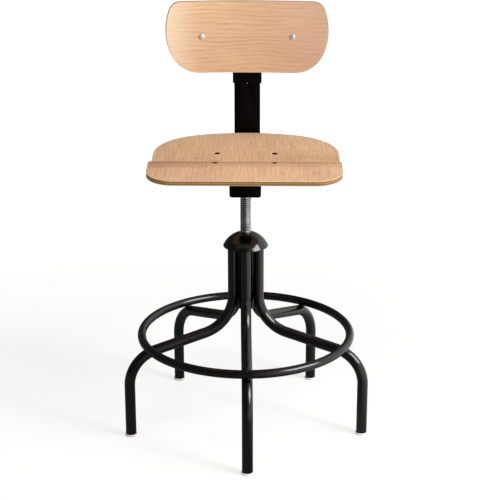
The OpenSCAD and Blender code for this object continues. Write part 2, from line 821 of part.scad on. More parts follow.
// Flat bar bent up behind the seat, with a slot for each stop pin
module back_bar() {
    start = [bar_front_y, bar_low_z + bar_t, 0];
    slot_w = stop_pin_d + 0.6;
    high_slot_w = height_pin_d + 0.6;
    color([0.03, 0.03, 0.03])
        difference() {
            along_x(bar_w)
                ribbon([[bar_flat_run, 0], [bar_bend_r - bar_t / 2, 90], [bar_up_run, 0]], start, bar_t);
            translate([-slot_w / 2, stop_pin_y - depth_out, bar_low_z - 1])
                cube([slot_w, depth_in + depth_out, bar_t + 2]);
            for (y = [stop_pin_y - depth_out, stop_pin_y + depth_in])
                translate([0, y, bar_low_z - 1])
                    cylinder(h = bar_t + 2, r = slot_w / 2);
            translate([-high_slot_w / 2, bar_y - bar_t, height_pin_z - height_down])
                cube([high_slot_w, 2 * bar_t, height_down + height_up]);
            for (z = [height_pin_z - height_down, height_pin_z + height_up])
                translate([0, bar_y - bar_t, z])
                    rotate([-90, 0, 0])
                        cylinder(h = 2 * bar_t, r = high_slot_w / 2);
            for (s = [-1, 1]) {
                translate([s * bar_w / 2, bar_y - bar_t, bar_top_z])
                    rotate([0, 45, 0])
                        translate([-5, 0, -5])
                            cube([10, 2 * bar_t, 10]);
                translate([s * bar_w / 2, bar_front_y, bar_low_z - 1])
                    rotate([0, 0, 45])
                        translate([-5, -5, 0])
                            cube([10, 10, bar_t + 2]);
            }
        }
}

module back_sleeve() {
    in_w = sleeve_w - 2 * sleeve_wall;
    in_t = sleeve_t - 2 * sleeve_wall;
    color([0.03, 0.03, 0.03])
        difference() {
            translate([-sleeve_w / 2 + 2, sleeve_front_y, sleeve_low_z])
                cube([sleeve_w - 4, sleeve_t, sleeve_top_z - sleeve_low_z]);
            translate([-in_w / 2, sleeve_front_y + sleeve_wall, sleeve_low_z - 1])
                cube([in_w, in_t, sleeve_top_z - sleeve_low_z + 2]);
            translate([0, sleeve_front_y - 1, height_pin_z])
                rotate([-90, 0, 0])
                    cylinder(h = sleeve_t + 2, r = height_pin_d / 2 + snug);
            translate([0, bar_y, height_knob_z])
                rotate([-90, 0, 0])
                    cylinder(h = sleeve_t, r = 9.2);
        }
    color([0.03, 0.03, 0.03])
        for (s = [-1, 1])
            difference() {
                intersection() {
                    translate([s * (sleeve_w / 2 - 5), bar_y, (sleeve_low_z + sleeve_top_z) / 2])
                        cube([10, sleeve_t, sleeve_top_z - sleeve_low_z], center = true);
                    union() {
                        for (y = [-1, 1])
                            translate([s * (sleeve_w / 2 - 2), bar_y + y * (sleeve_t / 2 - 2), sleeve_low_z])
                                cylinder(h = sleeve_top_z - sleeve_low_z, r = 2, $fn = 40);
                        translate([s * (sleeve_w / 2 - 2), bar_y, (sleeve_low_z + sleeve_top_z) / 2])
                            cube([4, sleeve_t - 4, sleeve_top_z - sleeve_low_z], center = true);
                    }
                }
                translate([-in_w / 2, sleeve_front_y + sleeve_wall, sleeve_low_z - 1])
                    cube([in_w, in_t, sleeve_top_z - sleeve_low_z + 2]);
                translate([s * (sleeve_w / 2 - 12), bar_y, (sleeve_low_z + sleeve_top_z) / 2])
                    cube([20, sleeve_t + 2, sleeve_top_z - sleeve_low_z + 2], center = true);
            }
}

boss_h = 14;
module sleeve_boss() {
    color([0.03, 0.03, 0.03])
        translate([0, sleeve_rear_y + touch, height_knob_z])
            rotate([-90, 0, 0])
                difference() {
                    cylinder(h = boss_h, r = 13);
                    translate([0, 0, -1])
                        cylinder(h = 8, r = 9.2);
                    translate([0, 0, 1])
                        cylinder(h = boss_h, r = stud_d / 2 + snug);
                }
}

module height_stop_pin() {
    color([0.5, 0.51, 0.52])
        translate([0, sleeve_front_y + 0.1, height_pin_z])
            rotate([-90, 0, 0])
                cylinder(h = sleeve_t - 0.2, r = height_pin_d / 2);
}

// Curved band of the back or its strap, about the sitter
module back_band(r, t, z0, h) {
    translate([0, back_centre_y, z0])
        linear_extrude(height = h)
            difference() {
                wedge(r + t, 60, 120);
                circle(r = r, $fn = fine(r));
            }
}

module back_bolt_spots() {
    for (s = [-1, 1])
        translate([0, back_centre_y, back_bolt_z])
            rotate([0, 0, -s * back_bolt_angle])
                rotate([-90, 0, 0])
                    children();
}

module back_strap() {
    color([0.03, 0.03, 0.03])
        difference() {
            intersection() {
                back_band(strap_in_r, strap_t - touch, back_bolt_z - strap_h / 2, strap_h);
                union() {
                    translate([-strap_half_w + strap_h / 2, back_front_y - 60, back_bolt_z - strap_h / 2])
                        cube([2 * strap_half_w - strap_h, 120, strap_h]);
                    for (s = [-1, 1])
                        translate([s * (strap_half_w - strap_h / 2), back_front_y - 60, back_bolt_z])
                            rotate([-90, 0, 0])
                                cylinder(h = 120, r = strap_h / 2);
                }
            }
            back_bolt_spots()
                translate([0, 0, back_curve_r - 20])
                    cylinder(h = 60, r = 3.2);
        }
}

// Welds down both sides of the sleeve, onto the strap
module strap_welds() {
    x = sleeve_w / 2 + touch / 2;
    r = strap_in_r + strap_t;
    y0 = back_centre_y + sqrt(r * r - x * x);
    y1 = back_centre_y + sqrt(r * r - pow(x + 4, 2));
    color([0.04, 0.04, 0.04])
        for (s = [-1, 1])
            translate([0, 0, back_bolt_z - strap_h / 2 + 2])
                linear_extrude(height = strap_h - 5)
                    polygon([[s * x, y0], [s * (x + 4), y1], [s * (x + 3.2), y1 + 1.8], [s * x, y0 + 5.4]]);
}

// Outline of the back from the front
module back_outline() {
    half = back_w / 2;
    mid_x = half - back_side_r;
    top_x = mid_x + (back_side_r - back_top_r) * cos(back_side_angle);
    top_z = back_top_z - back_top_r;
    mid_z = top_z - (back_side_r - back_top_r) * sin(back_side_angle);
    low_z = back_top_z - back_h + back_low_r;
    low_a = asin((mid_z - low_z) / (back_side_r - back_low_r));
    low_x = mid_x + (back_side_r - back_low_r) * cos(low_a);
    right = concat(arc_points([top_x, top_z], back_top_r, 90, back_side_angle),
        arc_points([mid_x, mid_z], back_side_r, back_side_angle, -low_a),
        arc_points([low_x, low_z], back_low_r, -low_a, -90));
    polygon(concat(right, flipped(right)));
}

module back_panel() {
    color([0.86, 0.70, 0.52])
        difference() {
            intersection() {
                back_band(back_curve_r, back_t, back_top_z - back_h - 10, back_h + 20);
                translate([0, back_front_y + 60, 0])
                    rotate([90, 0, 0])
                        linear_extrude(height = 160)
                            back_outline();
            }
            back_bolt_spots()
                translate([0, 0, back_curve_r - 20])
                    cylinder(h = 60, r = 3.2);
        }
}

module back_bolts() {
    color([0.75, 0.76, 0.77])
        back_bolt_spots()
            translate([0, 0, back_curve_r]) {
                rotate_extrude()
                    polygon([[0, -2.3], [4.6, -2], [6, -0.9], [6, -0.05], [0, -0.05]]);
                translate([0, 0, -0.2])
                    cylinder(h = back_t + strap_t + 7, r = 3);
            }
}

module back_nuts() {
    color([0.6, 0.61, 0.62])
        back_bolt_spots()
            translate([0, 0, strap_in_r + strap_t + 0.05])
                difference() {
                    union() {
                        hex(10, 5.2);
                        cylinder(h = 1.3, r = 6.6);
                    }
                    translate([0, 0, -1])
                        cylinder(h = 8, r = 3 + snug);
                }
}

height_pad_face_y = bar_y + bar_t / 2 + touch;
height_pad_h = 6;
height_grip_h = 20;
height_neck_h = clamp_rear_y - height_grip_h - (sleeve_rear_y + boss_h + 4);

module height_pad() {
    color([0.72, 0.58, 0.3])
        translate([0, height_pad_face_y + height_pad_h, height_knob_z])
            rotate([90, 0, 0])
                clamp_pad(9, height_pad_h);
}

module height_stud() {
    color([0.6, 0.61, 0.62])
        translate([0, height_pad_face_y + height_pad_h, height_knob_z])
            rotate([90, 0, 0])
                clamp_stud(clamp_rear_y - 5 - height_pad_face_y - height_pad_h);
}

module height_knob() {
    color([0.05, 0.05, 0.05])
        translate([0, clamp_rear_y, height_knob_z])
            rotate([90, 0, 0])
                star_grip(height_knob_d, height_grip_h, height_neck_h);
}

hub_tube();
lift_nut();
leg_front();
leg_front_right();
leg_rear_right();
leg_rear_left();
leg_front_left();
foot_ring();
ring_welds();
hub_welds();
foot_glides();
dome_cap();
stop_washer();
lift_screw();
stop_bolt();
screw_collar();
collar_pin();
seat_channel();
channel_end_plate();
seat_plate();
guide_plate();
guide_pins();
depth_stop_pin();
clamp_nut();
seat_panel();
seat_bolts();
seat_nuts();
depth_pad();
depth_stud();
depth_knob();
back_bar();
back_sleeve();
sleeve_boss();
height_stop_pin();
back_strap();
strap_welds();
back_panel();
back_bolts();
back_nuts();
height_pad();
height_stud();
height_knob();
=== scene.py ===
import json
from math import acos, asin, atan2, ceil, cos, hypot, pi, radians, sin, sqrt, tan, tau

import bmesh
import bpy
from bpy.props import FloatProperty, FloatVectorProperty, PointerProperty
from mathutils import Matrix, Vector


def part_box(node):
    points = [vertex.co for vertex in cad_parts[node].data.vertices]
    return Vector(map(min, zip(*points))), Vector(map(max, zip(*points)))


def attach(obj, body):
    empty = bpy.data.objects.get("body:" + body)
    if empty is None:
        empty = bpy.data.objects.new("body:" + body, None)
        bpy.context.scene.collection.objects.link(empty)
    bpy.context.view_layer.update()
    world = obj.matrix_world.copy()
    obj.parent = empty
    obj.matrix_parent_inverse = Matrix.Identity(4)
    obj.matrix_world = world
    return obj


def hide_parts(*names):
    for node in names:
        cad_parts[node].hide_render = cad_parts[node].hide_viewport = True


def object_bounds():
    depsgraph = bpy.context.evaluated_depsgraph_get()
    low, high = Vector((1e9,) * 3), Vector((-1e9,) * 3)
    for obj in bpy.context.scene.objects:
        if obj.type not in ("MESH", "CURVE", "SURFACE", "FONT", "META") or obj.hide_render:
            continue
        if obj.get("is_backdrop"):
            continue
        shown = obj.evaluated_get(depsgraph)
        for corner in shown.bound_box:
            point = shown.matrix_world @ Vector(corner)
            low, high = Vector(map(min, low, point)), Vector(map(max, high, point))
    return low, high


bl_info = {
    "name": "Plywood Task Chair",
    "version": (1, 0, 0),
    "blender": (4, 5, 0),
    "location": "3D View > Sidebar > Chair",
    "description": "Dresses a task chair: tube base, lift screw, and moulded plywood seat and back",
    "category": "Object",
}

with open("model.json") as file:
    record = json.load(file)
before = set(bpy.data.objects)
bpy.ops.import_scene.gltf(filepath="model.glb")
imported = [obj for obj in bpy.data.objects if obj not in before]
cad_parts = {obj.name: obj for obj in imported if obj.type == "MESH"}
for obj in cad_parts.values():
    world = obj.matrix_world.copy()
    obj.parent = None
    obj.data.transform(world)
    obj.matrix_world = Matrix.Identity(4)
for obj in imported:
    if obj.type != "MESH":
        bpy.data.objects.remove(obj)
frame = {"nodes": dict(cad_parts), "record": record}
cad_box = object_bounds()

MERGE = 1e-6  # two vertices this near, in metres, are one
GAP = 0.0001  # between pieces that lie against each other
THREAD_SHARES = (0.16, 0.32, 0.84)  # of a pitch: root's end, crest's start and crest's end
THREAD_RUNOUT = 0.0045  # plain shank between the thread and the seat channel
SHANK_LAP = 0.002  # how far the plain shank reaches into the thread
HUB_WALL = 0.0032
GLIDE_CHAMFERS = (0.0012, 0.0014)  # at the foot and at the top
GLIDE_STEM, GLIDE_TIP = 0.018, 0.022  # heights above the glide where the taper starts and ends
BEAD_HALF_SIZE = (0.0066, 0.0074, 0.0026)
BEAD_RIPPLES = 9
SEAT_HOLE, BACK_HOLE = 0.006, 0.0032  # radii
KNOB_GRIPS = {"depth": 0.015, "height": 0.02}  # heights of the star grips
STUD_RADIUS, STUD_DEPTH, STUD_PITCH = 0.005, 0.0009, 0.0015  # the clamp studs' thread
STUD_TIP, STUD_TIP_LAP = 0.0032, 0.0004  # the plain tip, and how far it reaches into the thread
EYE = (0.05303, -2.83302, 1.3662)  # the camera's place

LEG_ANGLES = {
    "leg_front": -90,
    "leg_front_right": -18,
    "leg_rear_right": 54,
    "leg_rear_left": 126,
    "leg_front_left": 198,
}


def length(name, description, default):
    return FloatProperty(name=name, description=description, default=default, min=0, precision=5,
                         unit="LENGTH")


def angle(name, description, degrees):
    return FloatProperty(name=name, description=description, default=radians(degrees),
                         unit="ROTATION")


def power(name, description, default):
    return FloatProperty(name=name, description=description, default=default, min=0,
                         subtype="POWER")


def colour(name, description, default):
    return FloatVectorProperty(name=name, description=description, default=default, size=3,
                               min=0, max=1, subtype="COLOR")


class BaseSizes(bpy.types.PropertyGroup):
    """Sizes of the tube base, the foot ring and the screw"""
    leg_radius: length("Leg radius", "Outside radius of the leg tubes", 0.0111)
    leg_wall: length("Leg wall", "Wall of the leg tubes", 0.0016)
    leg_axis: length("Leg axis", "Distance of the upright tubes from the screw axis", 0.02774)
    foot_radius: length("Foot radius", "Distance of the feet from the screw axis", 0.25575)
    bend_top: length("Bend top", "Height at which the legs leave the bundle", 0.2895)
    upper_bend: length("Upper bend", "Radius of the upper leg bend", 0.0801)
    lower_bend: length("Lower bend", "Radius of the lower leg bend", 0.074)
    leg_slope: angle("Leg slope", "Fall of the legs between the bends", 12.73)
    base_turn: angle("Base turn", "Turn of the base against the seat", 1.7)
    glide_height: length("Glide height", "Height of the glides below the tubes", 0.005)
    glide_radius: length("Glide radius", "Radius of the glides", 0.013)
    ring_radius: length("Ring radius", "Outside radius of the foot ring", 0.229)
    ring_tube: length("Ring tube", "Radius of the foot ring's tube", 0.0088)
    cap_radius: length("Cap radius", "Radius of the domed cap at its rim", 0.0468)
    cap_rise: length("Cap rise", "Rise of the domed cap from rim to hole", 0.028)
    cap_hole: length("Cap hole", "Radius of the hole in the domed cap", 0.013)
    cap_wall: length("Cap wall", "Wall of the domed cap", 0.0016)
    screw_radius: length("Screw radius", "Outside radius of the lift screw", 0.0111)
    thread_depth: length("Thread depth", "Depth of the lift screw's thread", 0.0015)
    thread_pitch: length("Thread pitch", "Rise of the seat for one turn", 0.0042333)


class SeatSizes(bpy.types.PropertyGroup):
    """Sizes of the moulded seat"""
    width: length("Width", "Width of the seat", 0.384)
    depth: length("Depth", "Depth of the seat from front to rear", 0.368)
    thickness: length("Thickness", "Thickness of the seat", 0.01)
    low_line: length("Lowest line", "Height of the seat's lowest line", 0.5771)
    front_angle: angle("Front angle", "Rise of the front part towards the crest", 5)
    fall_angle: angle("Fall angle", "Fall from the crest to the lowest line", 18)
    rear_angle: angle("Rear angle", "Rise from the lowest line to the rear edge", 3.4)
    crest_radius: length("Crest radius", "Radius of the crest", 0.09)
    valley_radius: length("Valley radius", "Radius of the lowest line", 0.03)
    crest_ahead: length("Crest place", "Distance of the crest in front of the screw axis", 0.0771)
    valley_ahead: length("Valley place",
                         "Distance of the lowest line in front of the screw axis", 0.013)
    front_corner: length("Front corners", "Radius of the front corners", 0.055)
    rear_corner: length("Rear corners", "Radius of the rear corners", 0.127)
    rear_edge: length("Rear edge", "Radius of the rear edge", 0.35)
    bolt_side: length("Bolts, side to side",
                      "Distance between the seat bolts, side to side", 0.1185)
    bolt_fore: length("Bolts, front to rear",
                      "Distance between the seat bolts, front to rear", 0.127)
    bolt_place: length("Bolts, place",
                       "Distance of the bolts' middle in front of the screw axis", 0.018)
    edge_round: length("Edge rounding", "Radius of the rounded edges", 0.0017)


class BackSizes(bpy.types.PropertyGroup):
    """Sizes of the moulded back"""
    width: length("Width", "Width of the back", 0.3388)
    height: length("Height", "Height of the back", 0.1516)
    thickness: length("Thickness", "Thickness of the back", 0.01)
    top: length("Top edge", "Height of the back's top edge", 0.8719)
    front: length("Front face", "Distance of the back's front face behind the screw axis", 0.18574)
    curve: length("Curve", "Radius of the back's curve around the sitter", 0.8)
    top_corner: length("Upper corners", "Radius of the upper corners", 0.025)
    low_corner: length("Lower corners", "Radius of the lower corners", 0.066)
    side: length("Ends", "Radius of the bowed ends", 0.132)
    bolt_span: length("Bolt distance", "Distance between the two bolts", 0.191)
    edge_round: length("Edge rounding", "Radius of the rounded edges", 0.0018)


class ChairColours(bpy.types.PropertyGroup):
    """Colours of the chair's finishes"""
    gloss_black: colour("Gloss black", "Paint of the base", (0.0016, 0.0015, 0.0012))
    satin_black: colour("Satin black", "Paint of the bracket and the bar", (0.0006, 0.0005, 0.0003))
    screw_steel: colour("Screw steel", "Bare steel of the lift screw", (0.78, 0.77, 0.74))
    zinc: colour("Zinc", "Plating of bolts and nuts", (0.74, 0.75, 0.76))
    black_oxide: colour("Black oxide", "Blackened steel of the seat screws", (0.004, 0.0035, 0.003))
    nylon: colour("Nylon", "White of the glides", (0.82, 0.82, 0.80))
    brass: colour("Brass", "Clamp pads", (0.68, 0.5, 0.24))
    knob: colour("Knob plastic", "Black of the clamp knobs", (0.012, 0.012, 0.012))
    seat_light: colour("Seat veneer, light", "Early wood of the seat's face", (0.85, 0.585, 0.35))
    seat_dark: colour("Seat veneer, dark", "Late wood of the seat's face", (0.55, 0.32, 0.18))
    back_light: colour("Back veneer, light", "Early wood of the back's face", (0.71, 0.46, 0.278))
    back_dark: colour("Back veneer, dark", "Late wood of the back's face", (0.49, 0.275, 0.14))
    # Painted sheen: the paler colour at the left end of the back.
    back_left_sheen: colour("Back veneer, left end", "Pale wood at the left end of the back",
                     (0.83, 0.72, 0.56))
    back_heart: colour("Back veneer, right end", "Reddish wood at the right end of the back",
                       (0.66, 0.41, 0.31))
    seat_rim: colour("Seat rim", "Rounded corners of the seat", (0.88, 0.64, 0.41))
    back_rim: colour("Back rim", "Rounded corners of the back", (0.26, 0.115, 0.045))
    ply_light: colour("Ply, light", "Plies cut along their grain", (0.48, 0.27, 0.105))
    ply_dark: colour("Ply, dark", "Plies cut across their grain", (0.25, 0.115, 0.035))


# Curves and profiles

def line_to(bm, vert, place):
    """Draw a straight edge from a vertex and return the new end."""
    end = bmesh.ops.extrude_vert_indiv(bm, verts=[vert])["verts"][0]
    end.co = Vector(place)
    return end


def arc_from(bm, vert, centre, axis, sweep, steps):
    """Draw an arc from a vertex about a centre and return the new end."""
    made = bmesh.ops.spin(bm, geom=[vert], cent=centre, axis=axis, angle=sweep, steps=steps)
    return [g for g in made["geom_last"] if isinstance(g, bmesh.types.BMVert)][0]


def edges_of(geom):
    return [g for g in geom if isinstance(g, bmesh.types.BMEdge)]


def verts_of(geom):
    return [g for g in geom if isinstance(g, bmesh.types.BMVert)]


def all_of(bm):
    return bm.verts[:] + bm.edges[:] + bm.faces[:]


def step_on(place, heading, run, turn):
    """End and heading of one length of a path: a straight run, or a bend of radius run."""
    if turn == 0:
        return place + run * Vector((cos(heading), sin(heading))), heading
    side = run if turn > 0 else -run
    centre = place + side * Vector((-sin(heading), cos(heading)))
    out = heading + turn
    return centre - side * Vector((-sin(out), cos(out))), out


def sweep_loop(bm, edges, place, heading, path, step=radians(4)):
    """Carry a loop of edges along a path in the XZ plane and return its last edges."""
    for run, turn in path:
        if turn == 0:
            geom = bmesh.ops.extrude_edge_only(bm, edges=edges)["geom"]
            shift = Vector((cos(heading), 0, sin(heading))) * run
            bmesh.ops.translate(bm, verts=verts_of(geom), vec=shift)
            far = set(verts_of(geom))
            edges = [e for e in edges_of(geom) if all(v in far for v in e.verts)]
        else:
            side = run if turn > 0 else -run
            centre = place + side * Vector((-sin(heading), cos(heading)))
            made = bmesh.ops.spin(bm, geom=edges, cent=(centre.x, 0, centre.y), axis=(0, -1, 0),
                                  angle=turn, steps=ceil(abs(turn) / step))
            edges = edges_of(made["geom_last"])
        place, heading = step_on(place, heading, run, turn)
    return edges


def close_up(bm):
    """Merge the doubles that a spin or mirror leaves, and turn all faces outwards."""
    bmesh.ops.remove_doubles(bm, verts=bm.verts, dist=MERGE)
    bmesh.ops.recalc_face_normals(bm, faces=bm.faces)


def spin_round(bm, edges, steps):
    """Spin edges once round the Z axis."""
    bmesh.ops.spin(bm, geom=edges, cent=(0, 0, 0), axis=(0, 0, 1), angle=tau, steps=steps,
                   use_merge=True)


def turn_about_z(bm, verts, turn):
    bmesh.ops.rotate(bm, verts=verts, cent=(0, 0, 0), matrix=Matrix.Rotation(turn, 3, "Z"))


def lathe(bm, profile, steps):
    """Spin a profile of (radius, height) points about Z, closed if both its ends are off Z."""
    verts = [bm.verts.new((r, 0, z)) for r, z in profile]
    pairs = list(zip(verts, verts[1:]))
    if profile[0][0] > 0 and profile[-1][0] > 0:
        pairs.append((verts[-1], verts[0]))
    spin_round(bm, [bm.edges.new(p) for p in pairs], steps)
    close_up(bm)


def round_edges(bm, edges, width, segments):
    bmesh.ops.bevel(bm, geom=edges, offset=width, offset_type="OFFSET", segments=segments,
                    profile=0.5, affect="EDGES", clamp_overlap=True, material=-1)


def soften(bm, width, sharp=30):
    """Round every edge that is sharper than an angle in degrees."""
    edges = [e for e in bm.edges if e.is_manifold and e.calc_face_angle(0) > radians(sharp)]
    round_edges(bm, edges, width, 2)


def thread(bm, radius, depth, pitch, low, high, steps=36):
    """Right-handed thread about the Z axis between two heights, with flat ends."""
    start, root = low - pitch, radius - depth
    root_end, crest_start, crest_end = THREAD_SHARES
    shape = [(root, 0), (root, root_end), (radius, crest_start), (radius, crest_end), (root, 1)]
    verts = [bm.verts.new((r, 0, start + z * pitch)) for r, z in shape]
    edges = [bm.edges.new(p) for p in zip(verts, verts[1:])]
    turns = ceil((high - low) / pitch) + 2
    bmesh.ops.spin(bm, geom=edges, cent=(0, 0, 0), axis=(0, 0, 1), dvec=(0, 0, pitch / steps),
                   angle=tau * turns, steps=turns * steps)
    bmesh.ops.remove_doubles(bm, verts=bm.verts, dist=MERGE)
    for height, side in ((low, -1), (high, 1)):
        bmesh.ops.bisect_plane(bm, geom=all_of(bm), plane_co=(0, 0, height),
                               plane_no=(0, 0, side), clear_outer=True)
        rim = [e for e in bm.edges
               if e.is_boundary and all(abs(v.co.z - height) < 1e-5 for v in e.verts)]
        bmesh.ops.contextual_create(bm, geom=rim)
    bmesh.ops.recalc_face_normals(bm, faces=bm.faces)


# Finishes

def set_range(node, low, high, out_low, out_high):
    """Set the limits of a Map Range node."""
    for key, number in (("From Min", low), ("From Max", high), ("To Min", out_low),
                        ("To Max", out_high)):
        node.inputs[key].default_value = number


class Finish:
    """Shader nodes of one finish, built step by step."""

    def __init__(self, name):
        self.material = bpy.data.materials.new(name)
        self.material.use_nodes = True
        self.tree = self.material.node_tree
        self.shader = self.tree.nodes["Principled BSDF"]
        self.place = self.add("ShaderNodeTexCoord").outputs["Object"]

    def add(self, kind, **settings):
        node = self.tree.nodes.new(kind)
        for key, value in settings.items():
            setattr(node, key, value)
        return node

    def link(self, output, socket):
        self.tree.links.new(output, socket)

    def stretched(self, source, scale):
        node = self.add("ShaderNodeMapping")
        node.inputs["Scale"].default_value = scale
        self.link(source, node.inputs["Vector"])
        return node.outputs["Vector"]

    def noise(self, source, scale, detail=3, roughness=0.55):
        node = self.add("ShaderNodeTexNoise")
        node.inputs["Scale"].default_value = scale
        node.inputs["Detail"].default_value = detail
        node.inputs["Roughness"].default_value = roughness
        self.link(source, node.inputs["Vector"])
        return node.outputs["Fac"]

    def spread(self, value, low, high, out_low=0, out_high=1):
        node = self.add("ShaderNodeMapRange")
        set_range(node, low, high, out_low, out_high)
        self.link(value, node.inputs["Value"])
        return node.outputs["Result"]

    def sums(self, kind, a, b=None):
        node = self.add("ShaderNodeMath", operation=kind)
        for k, value in enumerate((a, b)):
            if isinstance(value, (int, float)):
                node.inputs[k].default_value = value
            elif value is not None:
                self.link(value, node.inputs[k])
        return node.outputs[0]

    def blend(self, share, a, b, mode="MIX"):
        node = self.add("ShaderNodeMix", data_type="RGBA", blend_type=mode)
        for socket, value in ((node.inputs[0], share), (node.inputs[6], a), (node.inputs[7], b)):
            if isinstance(value, (int, float)):
                socket.default_value = value
            elif isinstance(value, bpy.types.NodeSocket):
                self.link(value, socket)
            else:
                socket.default_value = (*value, 1)
        return node.outputs[2]

    def bump(self, height, strength, distance):
        node = self.add("ShaderNodeBump")
        node.inputs["Strength"].default_value = strength
        node.inputs["Distance"].default_value = distance
        self.link(height, node.inputs["Height"])
        self.link(node.outputs["Normal"], self.shader.inputs["Normal"])

    def constants(self, **values):
        for key, value in values.items():
            socket = self.shader.inputs[key.replace("_", " ")]
            socket.default_value = (*value, 1) if isinstance(value, tuple) else value


def shade(base, share):
    """A colour made lighter or darker by a share, at most white."""
    return tuple(min(1, share * c) for c in base)


def paint(name, base, rough, level, grain, relief):
    """Black paint with a slight orange peel and uneven gloss."""
    f = Finish(name)
    f.constants(Base_Color=tuple(base), IOR=1.6, Specular_IOR_Level=level)
    patch = f.noise(f.place, 35, 3)
    f.link(f.spread(patch, 0.3, 0.7, rough * 0.8, rough * 1.25), f.shader.inputs["Roughness"])
    f.bump(f.noise(f.place, grain, 2), relief, 0.0004)
    return f.material


def turned_steel(name, base, root, crest):
    """Steel thread round Z, bright on its crests and darker towards its root's radius."""
    f = Finish(name)
    f.constants(Metallic=1.0)
    rings = f.noise(f.stretched(f.place, (12, 12, 2600)), 1, 3, 0.7)
    darkening = f.noise(f.place, 70, 5, 0.6)
    metal = f.blend(f.spread(darkening, 0.35, 0.62), shade(base, 0.6), tuple(base))
    flat = f.add("ShaderNodeVectorMath", operation="MULTIPLY")
    flat.inputs[1].default_value = (1, 1, 0)
    f.link(f.place, flat.inputs[0])
    out = f.add("ShaderNodeVectorMath", operation="LENGTH")
    f.link(flat.outputs[0], out.inputs[0])
    rootward = f.spread(out.outputs["Value"], root, crest, 0.9, 0.0)
    f.link(f.blend(rootward, metal, shade(base, 0.05)), f.shader.inputs["Base Color"])
    f.link(f.spread(rings, 0.3, 0.7, 0.14, 0.24), f.shader.inputs["Roughness"])
    f.bump(rings, 0.25, 0.0001)
    return f.material


def plated(name, base, rough, metal=1.0):
    """Plated metal, faintly mottled."""
    f = Finish(name)
    f.constants(Metallic=metal)
    mottle = f.noise(f.place, 420, 4, 0.65)
    tone = f.blend(f.spread(mottle, 0.3, 0.7), shade(base, 0.78), shade(base, 1.1))
    f.link(tone, f.shader.inputs["Base Color"])
    f.link(f.spread(mottle, 0.3, 0.7, rough * 1.25, rough * 0.85), f.shader.inputs["Roughness"])
    f.bump(f.noise(f.place, 1500, 2), 0.08, 0.0002)
    return f.material


def moulded(name, base, rough, relief, clear=0.0):
    """Moulded plastic with a fine eroded grain."""
    f = Finish(name)
    f.constants(Subsurface_Weight=clear, Subsurface_Scale=0.002)
    wear = f.noise(f.place, 90, 4, 0.6)
    tone = f.blend(f.spread(wear, 0.35, 0.65), shade(base, 0.9), shade(base, 1.04))
    f.link(tone, f.shader.inputs["Base Color"])
    f.link(f.spread(wear, 0.3, 0.7, rough * 0.85, rough * 1.15), f.shader.inputs["Roughness"])
    f.bump(f.noise(f.place, 1300, 3, 0.7), relief, 0.0003)
    return f.material


def veneer_tone(f, flow, across, figure, waves, lines, mottle):
    """Darkness of the grain, from its growth rings, streaks, flecks and fibres."""
    bend = f.noise(f.stretched(flow, (14, 6, 1)), 1, 3, 0.5)
    rings = f.sums("ADD", f.sums("MULTIPLY", across, figure), f.sums("MULTIPLY", bend, waves))
    late = f.sums("POWER", f.sums("PINGPONG", rings, 1.0), 4.0)
    breaks = f.noise(f.stretched(flow, (110, 16, 1)), 1, 3, 0.6)
    late = f.sums("MULTIPLY", late, f.spread(breaks, 0.35, 0.65, 0.1, 1.0))
    streaks = f.noise(f.stretched(flow, (330, 13, 1)), 1, 4, 0.65)
    flecks = f.noise(f.stretched(flow, (620, 75, 1)), 1, 3, 0.6)
    fibres = f.noise(f.stretched(flow, (2300, 46, 1)), 1, 4, 0.6)
    drift = f.noise(f.stretched(flow, (11, 3, 1)), 1, 3, 0.5)
    tone = f.sums("MULTIPLY", late, lines)
    for part, weight in ((streaks, 0.25 + 0.6 * mottle), (flecks, 0.7 * mottle), (fibres, 0.15),
                         (drift, 0.3)):
        tone = f.sums("ADD", tone, f.spread(part, 0.3, 0.7, 0, weight))
    return tone, fibres


def painted_crest_shade(f, across, along, warm, crest):
    """Share of painted shade in front of a crest, more so beside it, and behind the lowest line."""
    along = f.sums("ADD", along, f.spread(warm, 0.35, 0.65, -0.006, 0.006))
    left, right = f.spread(across, -0.19, 0.0, 0.13, 0), f.spread(across, 0.0, 0.19, 0, 0.36)
    band = f.sums("MULTIPLY", f.spread(along, crest - 0.051, crest - 0.038),
                  f.sums("ADD", left, 0.25))
    crease = f.spread(along, crest - 0.024, crest - 0.01, 0, 0.24)
    ahead = f.sums("MULTIPLY", f.sums("ADD", band, crease),
                   f.spread(along, crest + 0.004, crest + 0.012, 1, 0))
    valley = f.sums("MULTIPLY", f.spread(along, crest + 0.05, crest + 0.07),
                    f.spread(along, crest + 0.08, crest + 0.14, 1, 0))
    return f.sums("ADD", ahead, f.sums("MULTIPLY", valley, right))


def ply_edge(f, depth, ply_light, ply_dark):
    """Colour of five crossed plies with dark glue lines, by the depth from 0 to 1."""
    layer = f.sums("MULTIPLY", depth, 5.0)
    crossed = f.sums("GREATER_THAN", f.sums("MODULO", layer, 2.0), 1.0)
    glue = f.sums("LESS_THAN", f.sums("PINGPONG", layer, 0.5), 0.045)
    cut = f.noise(f.stretched(f.place, (420, 420, 900)), 1, 3, 0.6)
    ply = f.blend(crossed, ply_light, ply_dark)
    ply = f.blend(f.spread(cut, 0.3, 0.7, 0, 0.4), ply, shade(ply_dark, 0.55))
    return f.blend(f.sums("MULTIPLY", glue, 0.6), ply, shade(ply_dark, 0.4))


